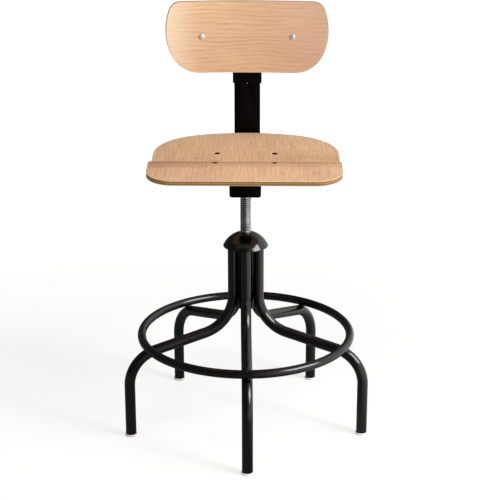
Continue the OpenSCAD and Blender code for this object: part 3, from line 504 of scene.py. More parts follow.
def plywood(name, light, dark, rim, ply_light, ply_dark, figure, waves, lines, mottle, crest=None,
            ends=()):
    """Lacquered veneer whose grain follows the moulded face, with the plies showing on the edge.

    The map named grain holds the distance across and along the grain in metres. The attribute
    named depth goes from 0 on one face to 1 on the other, and the one named bore marks the walls
    of holes, which take painted shade, near black. rim is the colour of the rounded corners,
    darkened as painted shade on the second face, and crest is where along the grain painted shade
    darkens the face about a crest. ends lists places along the grain where the veneer takes another
    colour; on the back these are a painted sheen at the left end and redder wood at the right end."""
    f = Finish(name)
    f.constants(IOR=1.46, Coat_Weight=0.12, Coat_Roughness=0.3, Specular_IOR_Level=0.25)
    flow = f.add("ShaderNodeUVMap", uv_map="grain").outputs["UV"]
    split = f.add("ShaderNodeSeparateXYZ")
    f.link(flow, split.inputs[0])
    across, along = split.outputs[0], split.outputs[1]
    tone, fibres = veneer_tone(f, flow, across, figure, waves, lines, mottle)
    face = f.blend(f.spread(tone, 0.3, 1.3), light, dark)
    warm = f.noise(f.stretched(flow, (9, 5, 1)), 1, 2, 0.5)
    face = f.blend(f.spread(warm, 0.4, 0.65, 0, 0.5), face, (1.0, 0.91, 1.06), "MULTIPLY")
    pores = f.noise(f.stretched(flow, (1500, 95, 1)), 1, 2, 0.5)
    face = f.blend(f.spread(pores, 0.66, 0.74, 0, 0.4), face, shade(dark, 0.62))
    for start, full, share, tint in ends:
        face = f.blend(f.spread(along, start, full, 0, share), face, tint)
    # Painted shade: the face darkens in front of the crest and behind the lowest line.
    if crest:
        darkening = tuple(k * c for k, c in zip((0.55, 0.38, 0.25), dark))
        face = f.blend(painted_crest_shade(f, across, along, warm, crest), face, darkening)
    depth = f.add("ShaderNodeAttribute", attribute_name="depth").outputs["Fac"]
    # Painted shade: the rounded edge on the underside of the seat and the rear of the back is
    # darker.
    rim = f.blend(f.sums("GREATER_THAN", depth, 0.5), rim, shade(rim, 0.3))
    below = f.sums("SUBTRACT", 0.5, f.sums("ABSOLUTE", f.sums("SUBTRACT", depth, 0.5)))
    inside = f.spread(below, 0.02, 0.04)
    edge = f.blend(f.spread(below, 0.09, 0.12), rim, ply_edge(f, depth, ply_light, ply_dark))
    bore = f.add("ShaderNodeAttribute", attribute_name="bore").outputs["Fac"]
    # Painted shade: the walls of the holes are near black.
    wood = f.blend(bore, f.blend(inside, face, edge), shade(ply_dark, 0.1))
    f.link(wood, f.shader.inputs["Base Color"])
    gloss = f.sums("ADD", f.spread(fibres, 0.3, 0.7, 0.46, 0.36), f.sums("MULTIPLY", inside, 0.12))
    f.link(gloss, f.shader.inputs["Roughness"])
    f.bump(f.sums("ADD", fibres, f.sums("MULTIPLY", pores, -0.6)), 0.1, 0.00025)
    return f.material


def seat_veneer(name):
    """Seat plywood, with fine straight grain from front to rear, and painted shade about the crest.
    """
    scene = bpy.context.scene
    c, crest = scene.chair_colours, SeatCurve(scene.chair_seat).crest()
    return plywood(name, c.seat_light, c.seat_dark, c.seat_rim, c.ply_light, c.ply_dark,
                   figure=95, waves=3, lines=0.1, mottle=0.9, crest=crest)


def back_veneer(name):
    """Back plywood, with wavy grain from side to side, a paler left end that is painted sheen, and
    a redder right end.
    """
    c = bpy.context.scene.chair_colours
    # The first end is painted sheen; the second is redder wood.
    ends = ((-0.1, -0.165, 0.5, tuple(c.back_left_sheen)), (0.03, 0.13, 0.4, tuple(c.back_heart)))
    return plywood(name, c.back_light, c.back_dark, c.back_rim, c.ply_light, c.ply_dark,
                   figure=225, waves=7, lines=0.8, mottle=0.3, ends=ends)


def finish(slot):
    """The material of one of the record's slots, made once."""
    name = "finish_" + slot
    if name in bpy.data.materials:
        return bpy.data.materials[name]
    c = bpy.context.scene.chair_colours
    makers = {
        "gloss_black": lambda: paint(name, c.gloss_black, 0.13, 0.5, 420, 0.03),
        "satin_black": lambda: paint(name, c.satin_black, 0.4, 0.06, 1400, 0.12),
        "zinc_steel": lambda: plated(name, c.zinc, 0.42, 0.7),
        "screw_steel": lambda: turned_steel(name, c.screw_steel, 0.0097, 0.011),
        "black_oxide": lambda: paint(name, c.black_oxide, 0.5, 0.1, 900, 0.05),
        "nylon": lambda: moulded(name, c.nylon, 0.42, 0.04, 0.15),
        "seat_plywood": lambda: seat_veneer(name),
        "back_plywood": lambda: back_veneer(name),
        "brass": lambda: plated(name, c.brass, 0.28),
        "knob_plastic": lambda: moulded(name, c.knob, 0.42, 0.14),
    }
    return makers[slot]()


# Pieces

def add_piece(name, bm, slot, *nodes, sharp=35):
    """Turn a bmesh into a piece that stands for CAD nodes and rides on their body."""
    mesh = bpy.data.meshes.new(name)
    bm.to_mesh(mesh)
    bm.free()
    mesh.materials.append(finish(slot))
    mesh.shade_smooth()
    mesh.set_sharp_from_angle(angle=radians(sharp))
    piece = bpy.data.objects.new(name, mesh)
    bpy.context.scene.collection.objects.link(piece)
    bodies = frame["record"]["behaviour"]["bodies"]
    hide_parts(*nodes)
    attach(piece, next(body for body, members in bodies.items() if nodes[0] in members))
    return piece


def cad_copy(node):
    """The welded mesh of a CAD node, with its flat faces whole."""
    bm = bmesh.new()
    bm.from_mesh(frame["nodes"][node].data)
    bmesh.ops.remove_doubles(bm, verts=bm.verts, dist=MERGE)
    bmesh.ops.dissolve_limit(bm, angle_limit=radians(0.4), verts=bm.verts, edges=bm.edges)
    return bm


def middle(node):
    low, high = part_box(node)
    return (Vector(low) + Vector(high)) / 2


def leg_slope_run(sizes):
    """Length of a leg's slope between its bends, and the height at which its lower bend ends."""
    bends = sizes.upper_bend + sizes.lower_bend
    slope = sizes.leg_slope
    run = (sizes.foot_radius - sizes.leg_axis - bends * (1 - sin(slope))) / cos(slope)
    return run, sizes.bend_top - run * sin(slope) - bends * cos(slope)


def leg_path(sizes, top):
    """Start, heading and lengths of a leg's middle line in the XZ plane."""
    slope = sizes.leg_slope
    run, low_bend = leg_slope_run(sizes)
    path = [(top - sizes.bend_top, 0), (sizes.upper_bend, pi / 2 - slope), (run, 0),
            (sizes.lower_bend, slope - pi / 2), (low_bend - sizes.glide_height, 0)]
    return Vector((sizes.leg_axis, top)), -pi / 2, path


class CHAIR_OT_legs(bpy.types.Operator):
    """Bend the five leg tubes"""
    bl_idname = "chair.legs"
    bl_label = "Legs"

    def execute(self, context):
        sizes = context.scene.chair_base
        for node, direction in LEG_ANGLES.items():
            start, heading, path = leg_path(sizes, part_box(node)[1][2])
            bm = bmesh.new()
            ends = []
            for radius in (sizes.leg_radius, sizes.leg_radius - sizes.leg_wall):
                ring = bmesh.ops.create_circle(bm, segments=40, radius=radius)["verts"]
                bmesh.ops.translate(bm, verts=ring, vec=(start.x, 0, start.y))
                first = list({e for v in ring for e in v.link_edges})
                ends.append((first, sweep_loop(bm, first, start, heading, path)))
            bmesh.ops.bridge_loops(bm, edges=ends[0][0] + ends[1][0])
            bmesh.ops.bridge_loops(bm, edges=ends[0][1] + ends[1][1])
            bmesh.ops.recalc_face_normals(bm, faces=bm.faces)
            turn_about_z(bm, bm.verts, radians(direction) + sizes.base_turn)
            add_piece("tube_" + node, bm, "gloss_black", node)
        return {"FINISHED"}


class CHAIR_OT_foot_ring(bpy.types.Operator):
    """Spin the foot ring and lay a weld bead on each leg"""
    bl_idname = "chair.foot_ring"
    bl_label = "Foot ring"

    def execute(self, context):
        sizes = context.scene.chair_base
        height = middle("foot_ring").z
        axis = sizes.ring_radius - sizes.ring_tube
        bm = bmesh.new()
        ring = bmesh.ops.create_circle(bm, segments=28, radius=sizes.ring_tube)["verts"]
        bmesh.ops.rotate(bm, verts=ring, cent=(0, 0, 0), matrix=Matrix.Rotation(pi / 2, 3, "X"))
        bmesh.ops.translate(bm, verts=ring, vec=(axis, 0, height))
        spin_round(bm, bm.edges[:], 200)
        bmesh.ops.recalc_face_normals(bm, faces=bm.faces)
        add_piece("ring_tube", bm, "gloss_black", "foot_ring")

        bm = bmesh.new()
        low_bend = leg_slope_run(sizes)[1]
        lean = atan2(height - low_bend, axis - (sizes.foot_radius - sizes.lower_bend))
        contact = Vector((axis - sizes.ring_tube * cos(lean), 0,
                          height - sizes.ring_tube * sin(lean)))
        for direction in LEG_ANGLES.values():
            bead = bmesh.ops.create_uvsphere(bm, u_segments=28, v_segments=14, radius=1)["verts"]
            for v in bead:
                turn = atan2(v.co.y, v.co.x)
                v.co *= 1 + 0.05 * sin(BEAD_RIPPLES * turn) * sqrt(max(0, 1 - v.co.z ** 2))
            bmesh.ops.scale(bm, verts=bead, vec=BEAD_HALF_SIZE)
            bmesh.ops.rotate(bm, verts=bead, cent=(0, 0, 0),
                             matrix=Matrix.Rotation(pi / 2 - lean, 3, "Y"))
            bmesh.ops.translate(bm, verts=bead, vec=contact)
            turn_about_z(bm, bead, radians(direction) + sizes.base_turn)
        add_piece("ring_beads", bm, "gloss_black", "ring_welds", sharp=80)
        return {"FINISHED"}


class CHAIR_OT_glides(bpy.types.Operator):
    """Turn the five nylon glides"""
    bl_idname = "chair.glides"
    bl_label = "Glides"

    def execute(self, context):
        sizes = context.scene.chair_base
        radius, height = sizes.glide_radius, sizes.glide_height
        stem = sizes.leg_radius - sizes.leg_wall - GAP
        low, high = GLIDE_CHAMFERS
        level, end = height - GAP, height + GLIDE_TIP
        bm = bmesh.new()
        lathe(bm, [(0, 0), (radius - low, 0), (radius, low), (radius, height - high),
                   (radius - high, level), (stem, level), (stem, height + GLIDE_STEM),
                   (stem - 0.002, end), (0, end)], steps=48)
        soften(bm, 0.0006, 25)
        glide = all_of(bm)
        places = [Matrix.Rotation(radians(a) + sizes.base_turn, 4, "Z")
                  @ Matrix.Translation((sizes.foot_radius, 0, 0)) for a in LEG_ANGLES.values()]
        for place in places[1:]:
            made = bmesh.ops.duplicate(bm, geom=glide)["geom"]
            bmesh.ops.transform(bm, verts=verts_of(made), matrix=place)
        bmesh.ops.transform(bm, verts=verts_of(glide), matrix=places[0])
        add_piece("nylon_glides", bm, "nylon", "foot_glides")
        return {"FINISHED"}


class CHAIR_OT_dome_cap(bpy.types.Operator):
    """Spin the domed cap with its rolled rim"""
    bl_idname = "chair.dome_cap"
    bl_label = "Domed cap"

    def execute(self, context):
        sizes = context.scene.chair_base
        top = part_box("dome_cap")[1][2]
        reach = (sizes.cap_radius ** 2 - sizes.cap_hole ** 2) / sizes.cap_rise
        above = (reach + sizes.cap_rise) / 2
        radius = sqrt(above ** 2 + sizes.cap_hole ** 2)
        centre = Vector((0, 0, top - above))
        hole_angle = asin(sizes.cap_hole / radius)
        rim_angle = acos((above - sizes.cap_rise) / radius)
        half = sizes.cap_wall / 2
        bm = bmesh.new()
        start = bm.verts.new(centre + Vector((sin(hole_angle), 0, cos(hole_angle))) * radius)
        rim = arc_from(bm, start, centre, (0, 1, 0), rim_angle - hole_angle, 30)
        rim_way = Vector((sin(rim_angle), 0, cos(rim_angle)))
        turned = arc_from(bm, rim, centre + rim_way * (radius - half), (0, 1, 0), pi, 8)
        inner = arc_from(bm, turned, centre, (0, 1, 0), hole_angle - rim_angle, 30)
        hole_way = Vector((sin(hole_angle), 0, cos(hole_angle)))
        arc_from(bm, inner, centre + hole_way * (radius - half), (0, 1, 0), pi, 8)
        bmesh.ops.remove_doubles(bm, verts=bm.verts, dist=MERGE)
        spin_round(bm, bm.edges[:], 96)
        close_up(bm)
        add_piece("cap_shell", bm, "gloss_black", "dome_cap", sharp=60)
        return {"FINISHED"}


class CHAIR_OT_lift_screw(bpy.types.Operator):
    """Cut the lift screw's thread and turn the middle tube that it runs in"""
    bl_idname = "chair.lift_screw"
    bl_label = "Lift screw"

    def execute(self, context):
        sizes = context.scene.chair_base
        radius = sizes.screw_radius
        low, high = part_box("lift_screw")
        bottom, top = low[2], high[2]
        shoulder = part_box("seat_channel")[0][2] - THREAD_RUNOUT
        bm = bmesh.new()
        thread(bm, radius, sizes.thread_depth, sizes.thread_pitch, bottom, shoulder)
        shank = bmesh.ops.create_cone(bm, cap_ends=True, segments=64, radius1=radius,
                                      radius2=radius, depth=top - shoulder + SHANK_LAP)["verts"]
        bmesh.ops.translate(bm, verts=shank, vec=(0, 0, (top + shoulder - SHANK_LAP) / 2))
        add_piece("threaded_rod", bm, "screw_steel", "lift_screw", sharp=28)

        low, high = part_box("hub_tube")
        outer, inner = high[0], high[0] - HUB_WALL
        bm = bmesh.new()
        lathe(bm, [(inner, low[2]), (outer, low[2]), (outer, high[2]), (inner, high[2])], steps=72)
        soften(bm, 0.0005)
        add_piece("middle_tube", bm, "gloss_black", "hub_tube")
        return {"FINISHED"}


def panel_solid(bm, rim, holes, cuts, fold, thickness, edge_round):
    """Fill an outline with holes, cut it across, fold it, give it thickness and round its edges.

    fold takes a flat vertex and returns its place and the way out of the face. The edges of the
    holes stay sharp."""
    loops = list(rim)
    drilled = bm.verts.layers.int.new("drilled")
    for centre, radius, turn in holes:
        circle = bmesh.ops.create_circle(bm, segments=40, radius=radius)["verts"]
        bmesh.ops.transform(bm, verts=circle, matrix=Matrix.Translation(centre) @ turn)
        loops += list({e for v in circle for e in v.link_edges})
        for v in circle:
            v[drilled] = 1
    bmesh.ops.triangle_fill(bm, use_beauty=True, edges=loops)
    for place, way in cuts:
        bmesh.ops.bisect_plane(bm, geom=all_of(bm), plane_co=place, plane_no=way, dist=MERGE)
    made = bmesh.ops.extrude_face_region(bm, geom=bm.faces[:], use_keep_orig=True)["geom"]
    far = set(verts_of(made))
    for v in bm.verts:
        place, out = fold(v.co)
        v.co = place - out * thickness if v in far else place
    bmesh.ops.recalc_face_normals(bm, faces=bm.faces)
    edges = [e for e in bm.edges if e.is_manifold and e.calc_face_angle(0) > radians(50)
             and not any(v[drilled] for v in e.verts)]
    round_edges(bm, edges, edge_round, 5)


def stamp_grain(piece, measure, thickness, holes=()):
    """Store each corner's place across and along the grain, its depth, and the holes' walls."""
    mesh = piece.data
    mesh.uv_layers.new(name="grain")
    mesh.attributes.new("depth", "FLOAT", "POINT")
    mesh.attributes.new("bore", "FLOAT", "FACE")

    def bored(face):
        at = face.center
        return abs(face.normal.z) < 0.5 and any(
            hypot(at.x - c.x, at.y - c.y) < radius + 0.002 for c, radius, _ in holes)

    found = [measure(v.co) for v in mesh.vertices]
    depths = [deep / thickness for _, _, deep in found]
    mesh.attributes["depth"].data.foreach_set("value", depths)
    mesh.attributes["bore"].data.foreach_set("value", [float(bored(p)) for p in mesh.polygons])
    flow = mesh.uv_layers["grain"].uv
    for loop in mesh.loops:
        flow[loop.index].vector = found[loop.vertex_index][:2]


class SeatCurve:
    """The seat's upper face from the side: straight runs, the crest and the lowest line."""
    overrun = 0.06  # how far the two end runs pass the panel's edges

    def __init__(self, s):
        fall, front, rear = s.fall_angle, s.front_angle, s.rear_angle
        valley_half = s.valley_radius * (sin(fall) + sin(rear)) / 2
        crest_half = s.crest_radius * (sin(fall) + sin(front)) / 2
        valley = Vector((-s.valley_ahead - valley_half,
                         s.low_line + s.valley_radius * (1 - cos(fall))))
        between = (valley.x + s.crest_ahead - crest_half) / cos(fall)
        crest_z = valley.y + between * sin(fall) + s.crest_radius * (cos(front) - cos(fall))
        run = self.overrun + (s.depth / 2 - s.crest_ahead - crest_half) / cos(front)
        place = Vector((-s.crest_ahead - crest_half - run * cos(front), crest_z - run * sin(front)))
        heading = front
        self.parts, along = [], 0.0
        for size, turn in ((run, 0), (s.crest_radius, -front - fall), (between, 0),
                           (s.valley_radius, fall + rear), (s.depth / 2 + self.overrun, 0)):
            self.parts.append((place.copy(), heading, size, turn, along))
            place, heading = step_on(place, heading, size, turn)
            along += size * abs(turn) if turn else size

    def crest(self):
        """Distance along the face at which the crest turns away from the front."""
        start, end = self.parts[1][4], self.parts[2][4]
        return start + 0.9 * (end - start)

    def cuts(self):
        """Distances from front to rear at which the flat sheet is cut for its bends."""
        for place, heading, size, turn, _ in self.parts:
            if turn:
                count = ceil(abs(turn) / radians(1.6))
                for k in range(count + 1):
                    yield step_on(place, heading, size, turn * k / count)[0].x if k else place.x

    def fold(self, co):
        """Place on the upper face above a flat point, and the way out of the face."""
        place, heading, size, turn, _ = [p for p in self.parts if p[0].x <= co.y + 1e-7][-1]
        if turn == 0:
            z = place.y + (co.y - place.x) * tan(heading)
        else:
            side = size if turn > 0 else -size
            centre = place + side * Vector((-sin(heading), cos(heading)))
            heading = asin(max(-1, min(1, (co.y - centre.x) / side)))
            z = centre.y - side * cos(heading)
        return Vector((co.x, co.y, z)), Vector((0, -sin(heading), cos(heading)))

    def measure(self, co):
        """Across, along and deep for a point in the panel."""
        point = Vector((co.y, co.z))
        for place, heading, size, turn, along in reversed(self.parts):
            way = Vector((cos(heading), sin(heading)))
            ahead = (point - place).dot(way)
            if ahead < -1e-7 and along > 0:
                continue
            if turn == 0:
                return co.x, along + ahead, -(point - place).dot(Vector((-way.y, way.x)))
            side = size if turn > 0 else -size
            arm = point - place - side * Vector((-sin(heading), cos(heading)))
            swing = abs(way.angle_signed(Vector((arm.y, -arm.x)) * (-1 if turn > 0 else 1), 0))
            return co.x, along + size * swing, (arm.length - size) * (1 if turn > 0 else -1)


def seat_rim(bm, s):
    """Outline of the seat from above, in the XY plane."""
    half, rear = s.width / 2, s.depth / 2
    end_centre = Vector((0, rear - s.rear_edge, 0))
    corner_x = half - s.rear_corner
    reach = sqrt((s.rear_edge - s.rear_corner) ** 2 - corner_x ** 2)
    corner = Vector((corner_x, end_centre.y + reach, 0))
    corner_angle = atan2(corner.y - end_centre.y, corner.x)
    front = Vector((half - s.front_corner, s.front_corner - rear, 0))
    v = bm.verts.new((0, rear, 0))
    v = arc_from(bm, v, end_centre, (0, 0, 1), corner_angle - pi / 2, 10)
    v = arc_from(bm, v, corner, (0, 0, 1), -corner_angle, 28)
    v = line_to(bm, v, (half, front.y, 0))
    v = arc_from(bm, v, front, (0, 0, 1), -pi / 2, 22)
    line_to(bm, v, (0, -rear, 0))
    bmesh.ops.mirror(bm, geom=bm.verts[:] + bm.edges[:], axis="X", merge_dist=1e-5)
    bmesh.ops.remove_doubles(bm, verts=bm.verts, dist=MERGE)
    return bm.edges[:]


class CHAIR_OT_seat(bpy.types.Operator):
    """Mould the plywood seat"""
    bl_idname = "chair.seat"
    bl_label = "Seat"

    def execute(self, context):
        s = context.scene.chair_seat
        curve = SeatCurve(s)
        bm = bmesh.new()
        rim = seat_rim(bm, s)
        holes = [(Vector((x * s.bolt_side / 2, y * s.bolt_fore / 2 - s.bolt_place, 0)), SEAT_HOLE,
                  Matrix.Identity(4)) for x in (-1, 1) for y in (-1, 1)]
        in_plain_runs = (-0.17, -0.15, -0.12, 0.06, 0.1, 0.14)
        cuts = [((0, y, 0), (0, 1, 0)) for y in (*curve.cuts(), *in_plain_runs)]
        panel_solid(bm, rim, holes, cuts, curve.fold, s.thickness, s.edge_round)
        piece = add_piece("moulded_seat", bm, "seat_plywood", "seat_panel")
        stamp_grain(piece, curve.measure, s.thickness, holes)
        return {"FINISHED"}


def back_rim(bm, s):
    """Outline of the back from the front, in the XZ plane."""
    half = s.width / 2
    middle_x = half - s.side
    lean = radians(20)
    top = Vector((middle_x + (s.side - s.top_corner) * cos(lean), 0, s.top - s.top_corner))
    side = Vector((middle_x, 0, top.z - (s.side - s.top_corner) * sin(lean)))
    low_z = s.top - s.height + s.low_corner
    low_lean = asin((side.z - low_z) / (s.side - s.low_corner))
    low = Vector((middle_x + (s.side - s.low_corner) * cos(low_lean), 0, low_z))
    v = bm.verts.new((0, 0, s.top))
    v = line_to(bm, v, top + Vector((0, 0, s.top_corner)))
    v = arc_from(bm, v, top, (0, 1, 0), pi / 2 - lean, 16)
    v = arc_from(bm, v, side, (0, 1, 0), lean + low_lean, 22)
    v = arc_from(bm, v, low, (0, 1, 0), pi / 2 - low_lean, 26)
    line_to(bm, v, (0, 0, s.top - s.height))
    bmesh.ops.mirror(bm, geom=bm.verts[:] + bm.edges[:], axis="X", merge_dist=1e-5)
    bmesh.ops.remove_doubles(bm, verts=bm.verts, dist=MERGE)
    return bm.edges[:]


class CHAIR_OT_back(bpy.types.Operator):
    """Mould the plywood back"""
    bl_idname = "chair.back"
    bl_label = "Back"

    def execute(self, context):
        s = context.scene.chair_back
        centre_y = s.front - s.curve

        def fold(co):
            out = Vector((co.x, sqrt(s.curve ** 2 - co.x ** 2), 0)) / s.curve
            return Vector((co.x, centre_y + s.curve * out.y, co.z)), -out

        def measure(co):
            arm = Vector((co.x, co.y - centre_y))
            return co.z, s.curve * atan2(arm.x, arm.y), arm.length - s.curve

        bm = bmesh.new()
        rim = back_rim(bm, s)
        upright = Matrix.Rotation(pi / 2, 4, "X")
        height = middle("back_bolts").z
        holes = [(Vector((x * s.bolt_span / 2, 0, height)), BACK_HOLE, upright) for x in (-1, 1)]
        cuts = [((millimetres * 0.001, 0, 0), (1, 0, 0)) for millimetres in range(-160, 161, 10)]
        panel_solid(bm, rim, holes, cuts, fold, s.thickness, s.edge_round)
        piece = add_piece("moulded_back", bm, "back_plywood", "back_panel")
        stamp_grain(piece, measure, s.thickness)
        return {"FINISHED"}


# How much the edges of each steel or brass node are rounded, in metres, by its finish
STEEL_EDGES = {
    "satin_black": {
        "seat_channel": 0.0005,
        "channel_end_plate": 0.0004,
        "seat_plate": 0.0005,
        "guide_plate": 0.0004,
        "screw_collar": 0.0004,
        "back_bar": 0.0007,
        "back_sleeve": 0.0004,
        "sleeve_boss": 0.0005,
        "back_strap": 0.0005,
        "strap_welds": 0.0008,
    },
    "gloss_black": {"hub_welds": 0.0004},
    "zinc_steel": {
        "lift_nut": 0.0005,
        "stop_washer": 0.0003,
        "stop_bolt": 0.0004,
        "collar_pin": 0.0003,
        "guide_pins": 0.0004,
        "depth_stop_pin": 0.0003,
        "height_stop_pin": 0.0003,
        "clamp_nut": 0.0004,
        "seat_nuts": 0.0003,
        "back_nuts": 0.0003,
    },
    "brass": {"depth_pad": 0.0004, "height_pad": 0.0004},
    "black_oxide": {"seat_bolts": 0.0004},
}


class CHAIR_OT_steelwork(bpy.types.Operator):
    """Finish the pressed, bent and welded steel with broken edges"""
    bl_idname = "chair.steelwork"
    bl_label = "Steelwork"

    def execute(self, context):
        for slot, widths in STEEL_EDGES.items():
            for node, width in widths.items():
                bm = cad_copy(node)
                soften(bm, width)
                add_piece("finished_" + node, bm, slot, node)
        return {"FINISHED"}


class CHAIR_OT_back_bolts(bpy.types.Operator):
    """Turn the two bolts that hold the back"""
    bl_idname = "chair.back_bolts"
    bl_label = "Back bolts"

    def execute(self, context):
        s = context.scene.chair_back
        height = middle("back_bolts").z
        swing = asin(s.bolt_span / 2 / s.curve)
        bm = bmesh.new()
        dome = [(0, -0.0023), (0.0022, -0.00222), (0.004, -0.0019), (0.0054, -0.0012),
                (0.006, -0.0005), (0.006, -0.00005)]
        shank, end = 0.003, s.thickness + 0.0098
        lathe(bm, dome + [(shank, -0.00005), (shank, end), (0, end)], steps=48)
        bolt = all_of(bm)
        twin = bmesh.ops.duplicate(bm, geom=bolt)["geom"]
        for geom, side in ((bolt, -1), (twin, 1)):
            place = (Matrix.Translation((0, s.front - s.curve, height))
                     @ Matrix.Rotation(-side * swing, 4, "Z") @ Matrix.Rotation(-pi / 2, 4, "X")
                     @ Matrix.Translation((0, 0, s.curve)))
            bmesh.ops.transform(bm, verts=verts_of(geom), matrix=place)
        add_piece("domed_bolts", bm, "zinc_steel", "back_bolts")
        return {"FINISHED"}


def ring_at(bm, radius, z):
    """Circle of vertices at a height, and its edges."""
    ring = bmesh.ops.create_circle(bm, segments=144, radius=radius)["verts"]
    for v in ring:
        v.co.z = z
    return ring, list({e for v in ring for e in v.link_edges})


def star_knob(bm, radius, height, neck, stud):
    """Star knob standing on z = 0, with a crowned face below and its neck upwards."""
    lobes, dip_depth, dip_width = 6, 0.17, 2.2
    grip = [(0.0, 0.55), (0.0, 0.86), (0.0012, 0.95), (0.0035, 1.0), (height - 0.0025, 1.0),
            (height - 0.0006, 0.95), (height, 0.88)]
    last = None
    for z, share in grip:
        ring, edges = ring_at(bm, radius * share, z)
        for v in ring:
            dip = (0.5 - 0.5 * cos(lobes * atan2(v.co.y, v.co.x))) ** dip_width
            v.co.xy *= 1 - dip_depth * dip * min(1, share)
        if last:
            bmesh.ops.bridge_loops(bm, edges=last + edges)
        else:
            bmesh.ops.contextual_create(bm, geom=edges)
        last = edges
    end = height + neck
    for z, r in ((height, 0.0108), (height + 0.0008, 0.01), (end - 0.0008, 0.0082), (end, 0.0076),
                 (end, stud)):
        edges = ring_at(bm, r, z)[1]
        bmesh.ops.bridge_loops(bm, edges=last + edges)
        last = edges
    bmesh.ops.contextual_create(bm, geom=last)
    bmesh.ops.recalc_face_normals(bm, faces=bm.faces)
    if bm.calc_volume(signed=True) < 0:
        bmesh.ops.reverse_faces(bm, faces=bm.faces)


class CHAIR_OT_knobs(bpy.types.Operator):
    """Mould the two star knobs and cut their studs"""
    bl_idname = "chair.knobs"
    bl_label = "Knobs"

    def execute(self, context):
        for kind, grip in KNOB_GRIPS.items():
            low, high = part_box(kind + "_knob")
            stud_low, stud_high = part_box(kind + "_stud")
            centre = middle(kind + "_knob")
            if kind == "depth":  # upright, under the seat
                radius, span = (high[1] - low[1]) / 2, high[2] - low[2]
                place = Matrix.Translation((centre.x, centre.y, low[2]))
                reach = (stud_low[2] - low[2], stud_high[2] - low[2])
            else:
                radius, span = (high[2] - low[2]) / 2, high[1] - low[1]
                place = (Matrix.Translation((centre.x, high[1], centre.z))
                         @ Matrix.Rotation(pi / 2, 4, "X"))
                reach = (high[1] - stud_high[1], high[1] - stud_low[1])
            bm = bmesh.new()
            star_knob(bm, radius, grip, span - grip, STUD_RADIUS + GAP)
            bmesh.ops.transform(bm, verts=bm.verts, matrix=place)
            add_piece(kind + "_star_knob", bm, "knob_plastic", kind + "_knob", sharp=40)
            bm = bmesh.new()
            start, end = reach
            thread(bm, STUD_RADIUS, STUD_DEPTH, STUD_PITCH, start, end - STUD_TIP + STUD_TIP_LAP,
                   steps=24)
            tip = bmesh.ops.create_cone(bm, cap_ends=True, segments=32, radius1=0.003,
                                        radius2=0.0026, depth=STUD_TIP)["verts"]
            bmesh.ops.translate(bm, verts=tip, vec=(0, 0, end - STUD_TIP / 2))
            bmesh.ops.transform(bm, verts=bm.verts, matrix=place)
            add_piece(kind + "_threaded_stud", bm, "zinc_steel", kind + "_stud", sharp=28)
        return {"FINISHED"}


# Stage

class StageSettings(bpy.types.PropertyGroup):
    """Light, floor and camera"""
    key_power: power("Key light", "Power of the light on the right that casts shadows", 75)
    front_power: power("Front light", "Power of the soft light above the camera", 30)
    side_power: power("Side light", "Power of the soft box on the right", 104)
    sky: FloatProperty(name="Sky", description="Strength of the even light", default=0.3, min=0)
    floor: colour("Floor", "Colour of the floor's paper", (0.8, 0.8, 0.79))
    lens: FloatProperty(name="Lens", description="Focal length of the camera", default=103.75,
                        min=1, subtype="DISTANCE_CAMERA")
    pitch: angle("Camera pitch", "How far the camera looks down", 19.1)
    yaw: angle("Camera yaw", "Turn of the camera to the left", 0.8915)
    roll: angle("Camera roll", "Lean of the camera", -0.028)


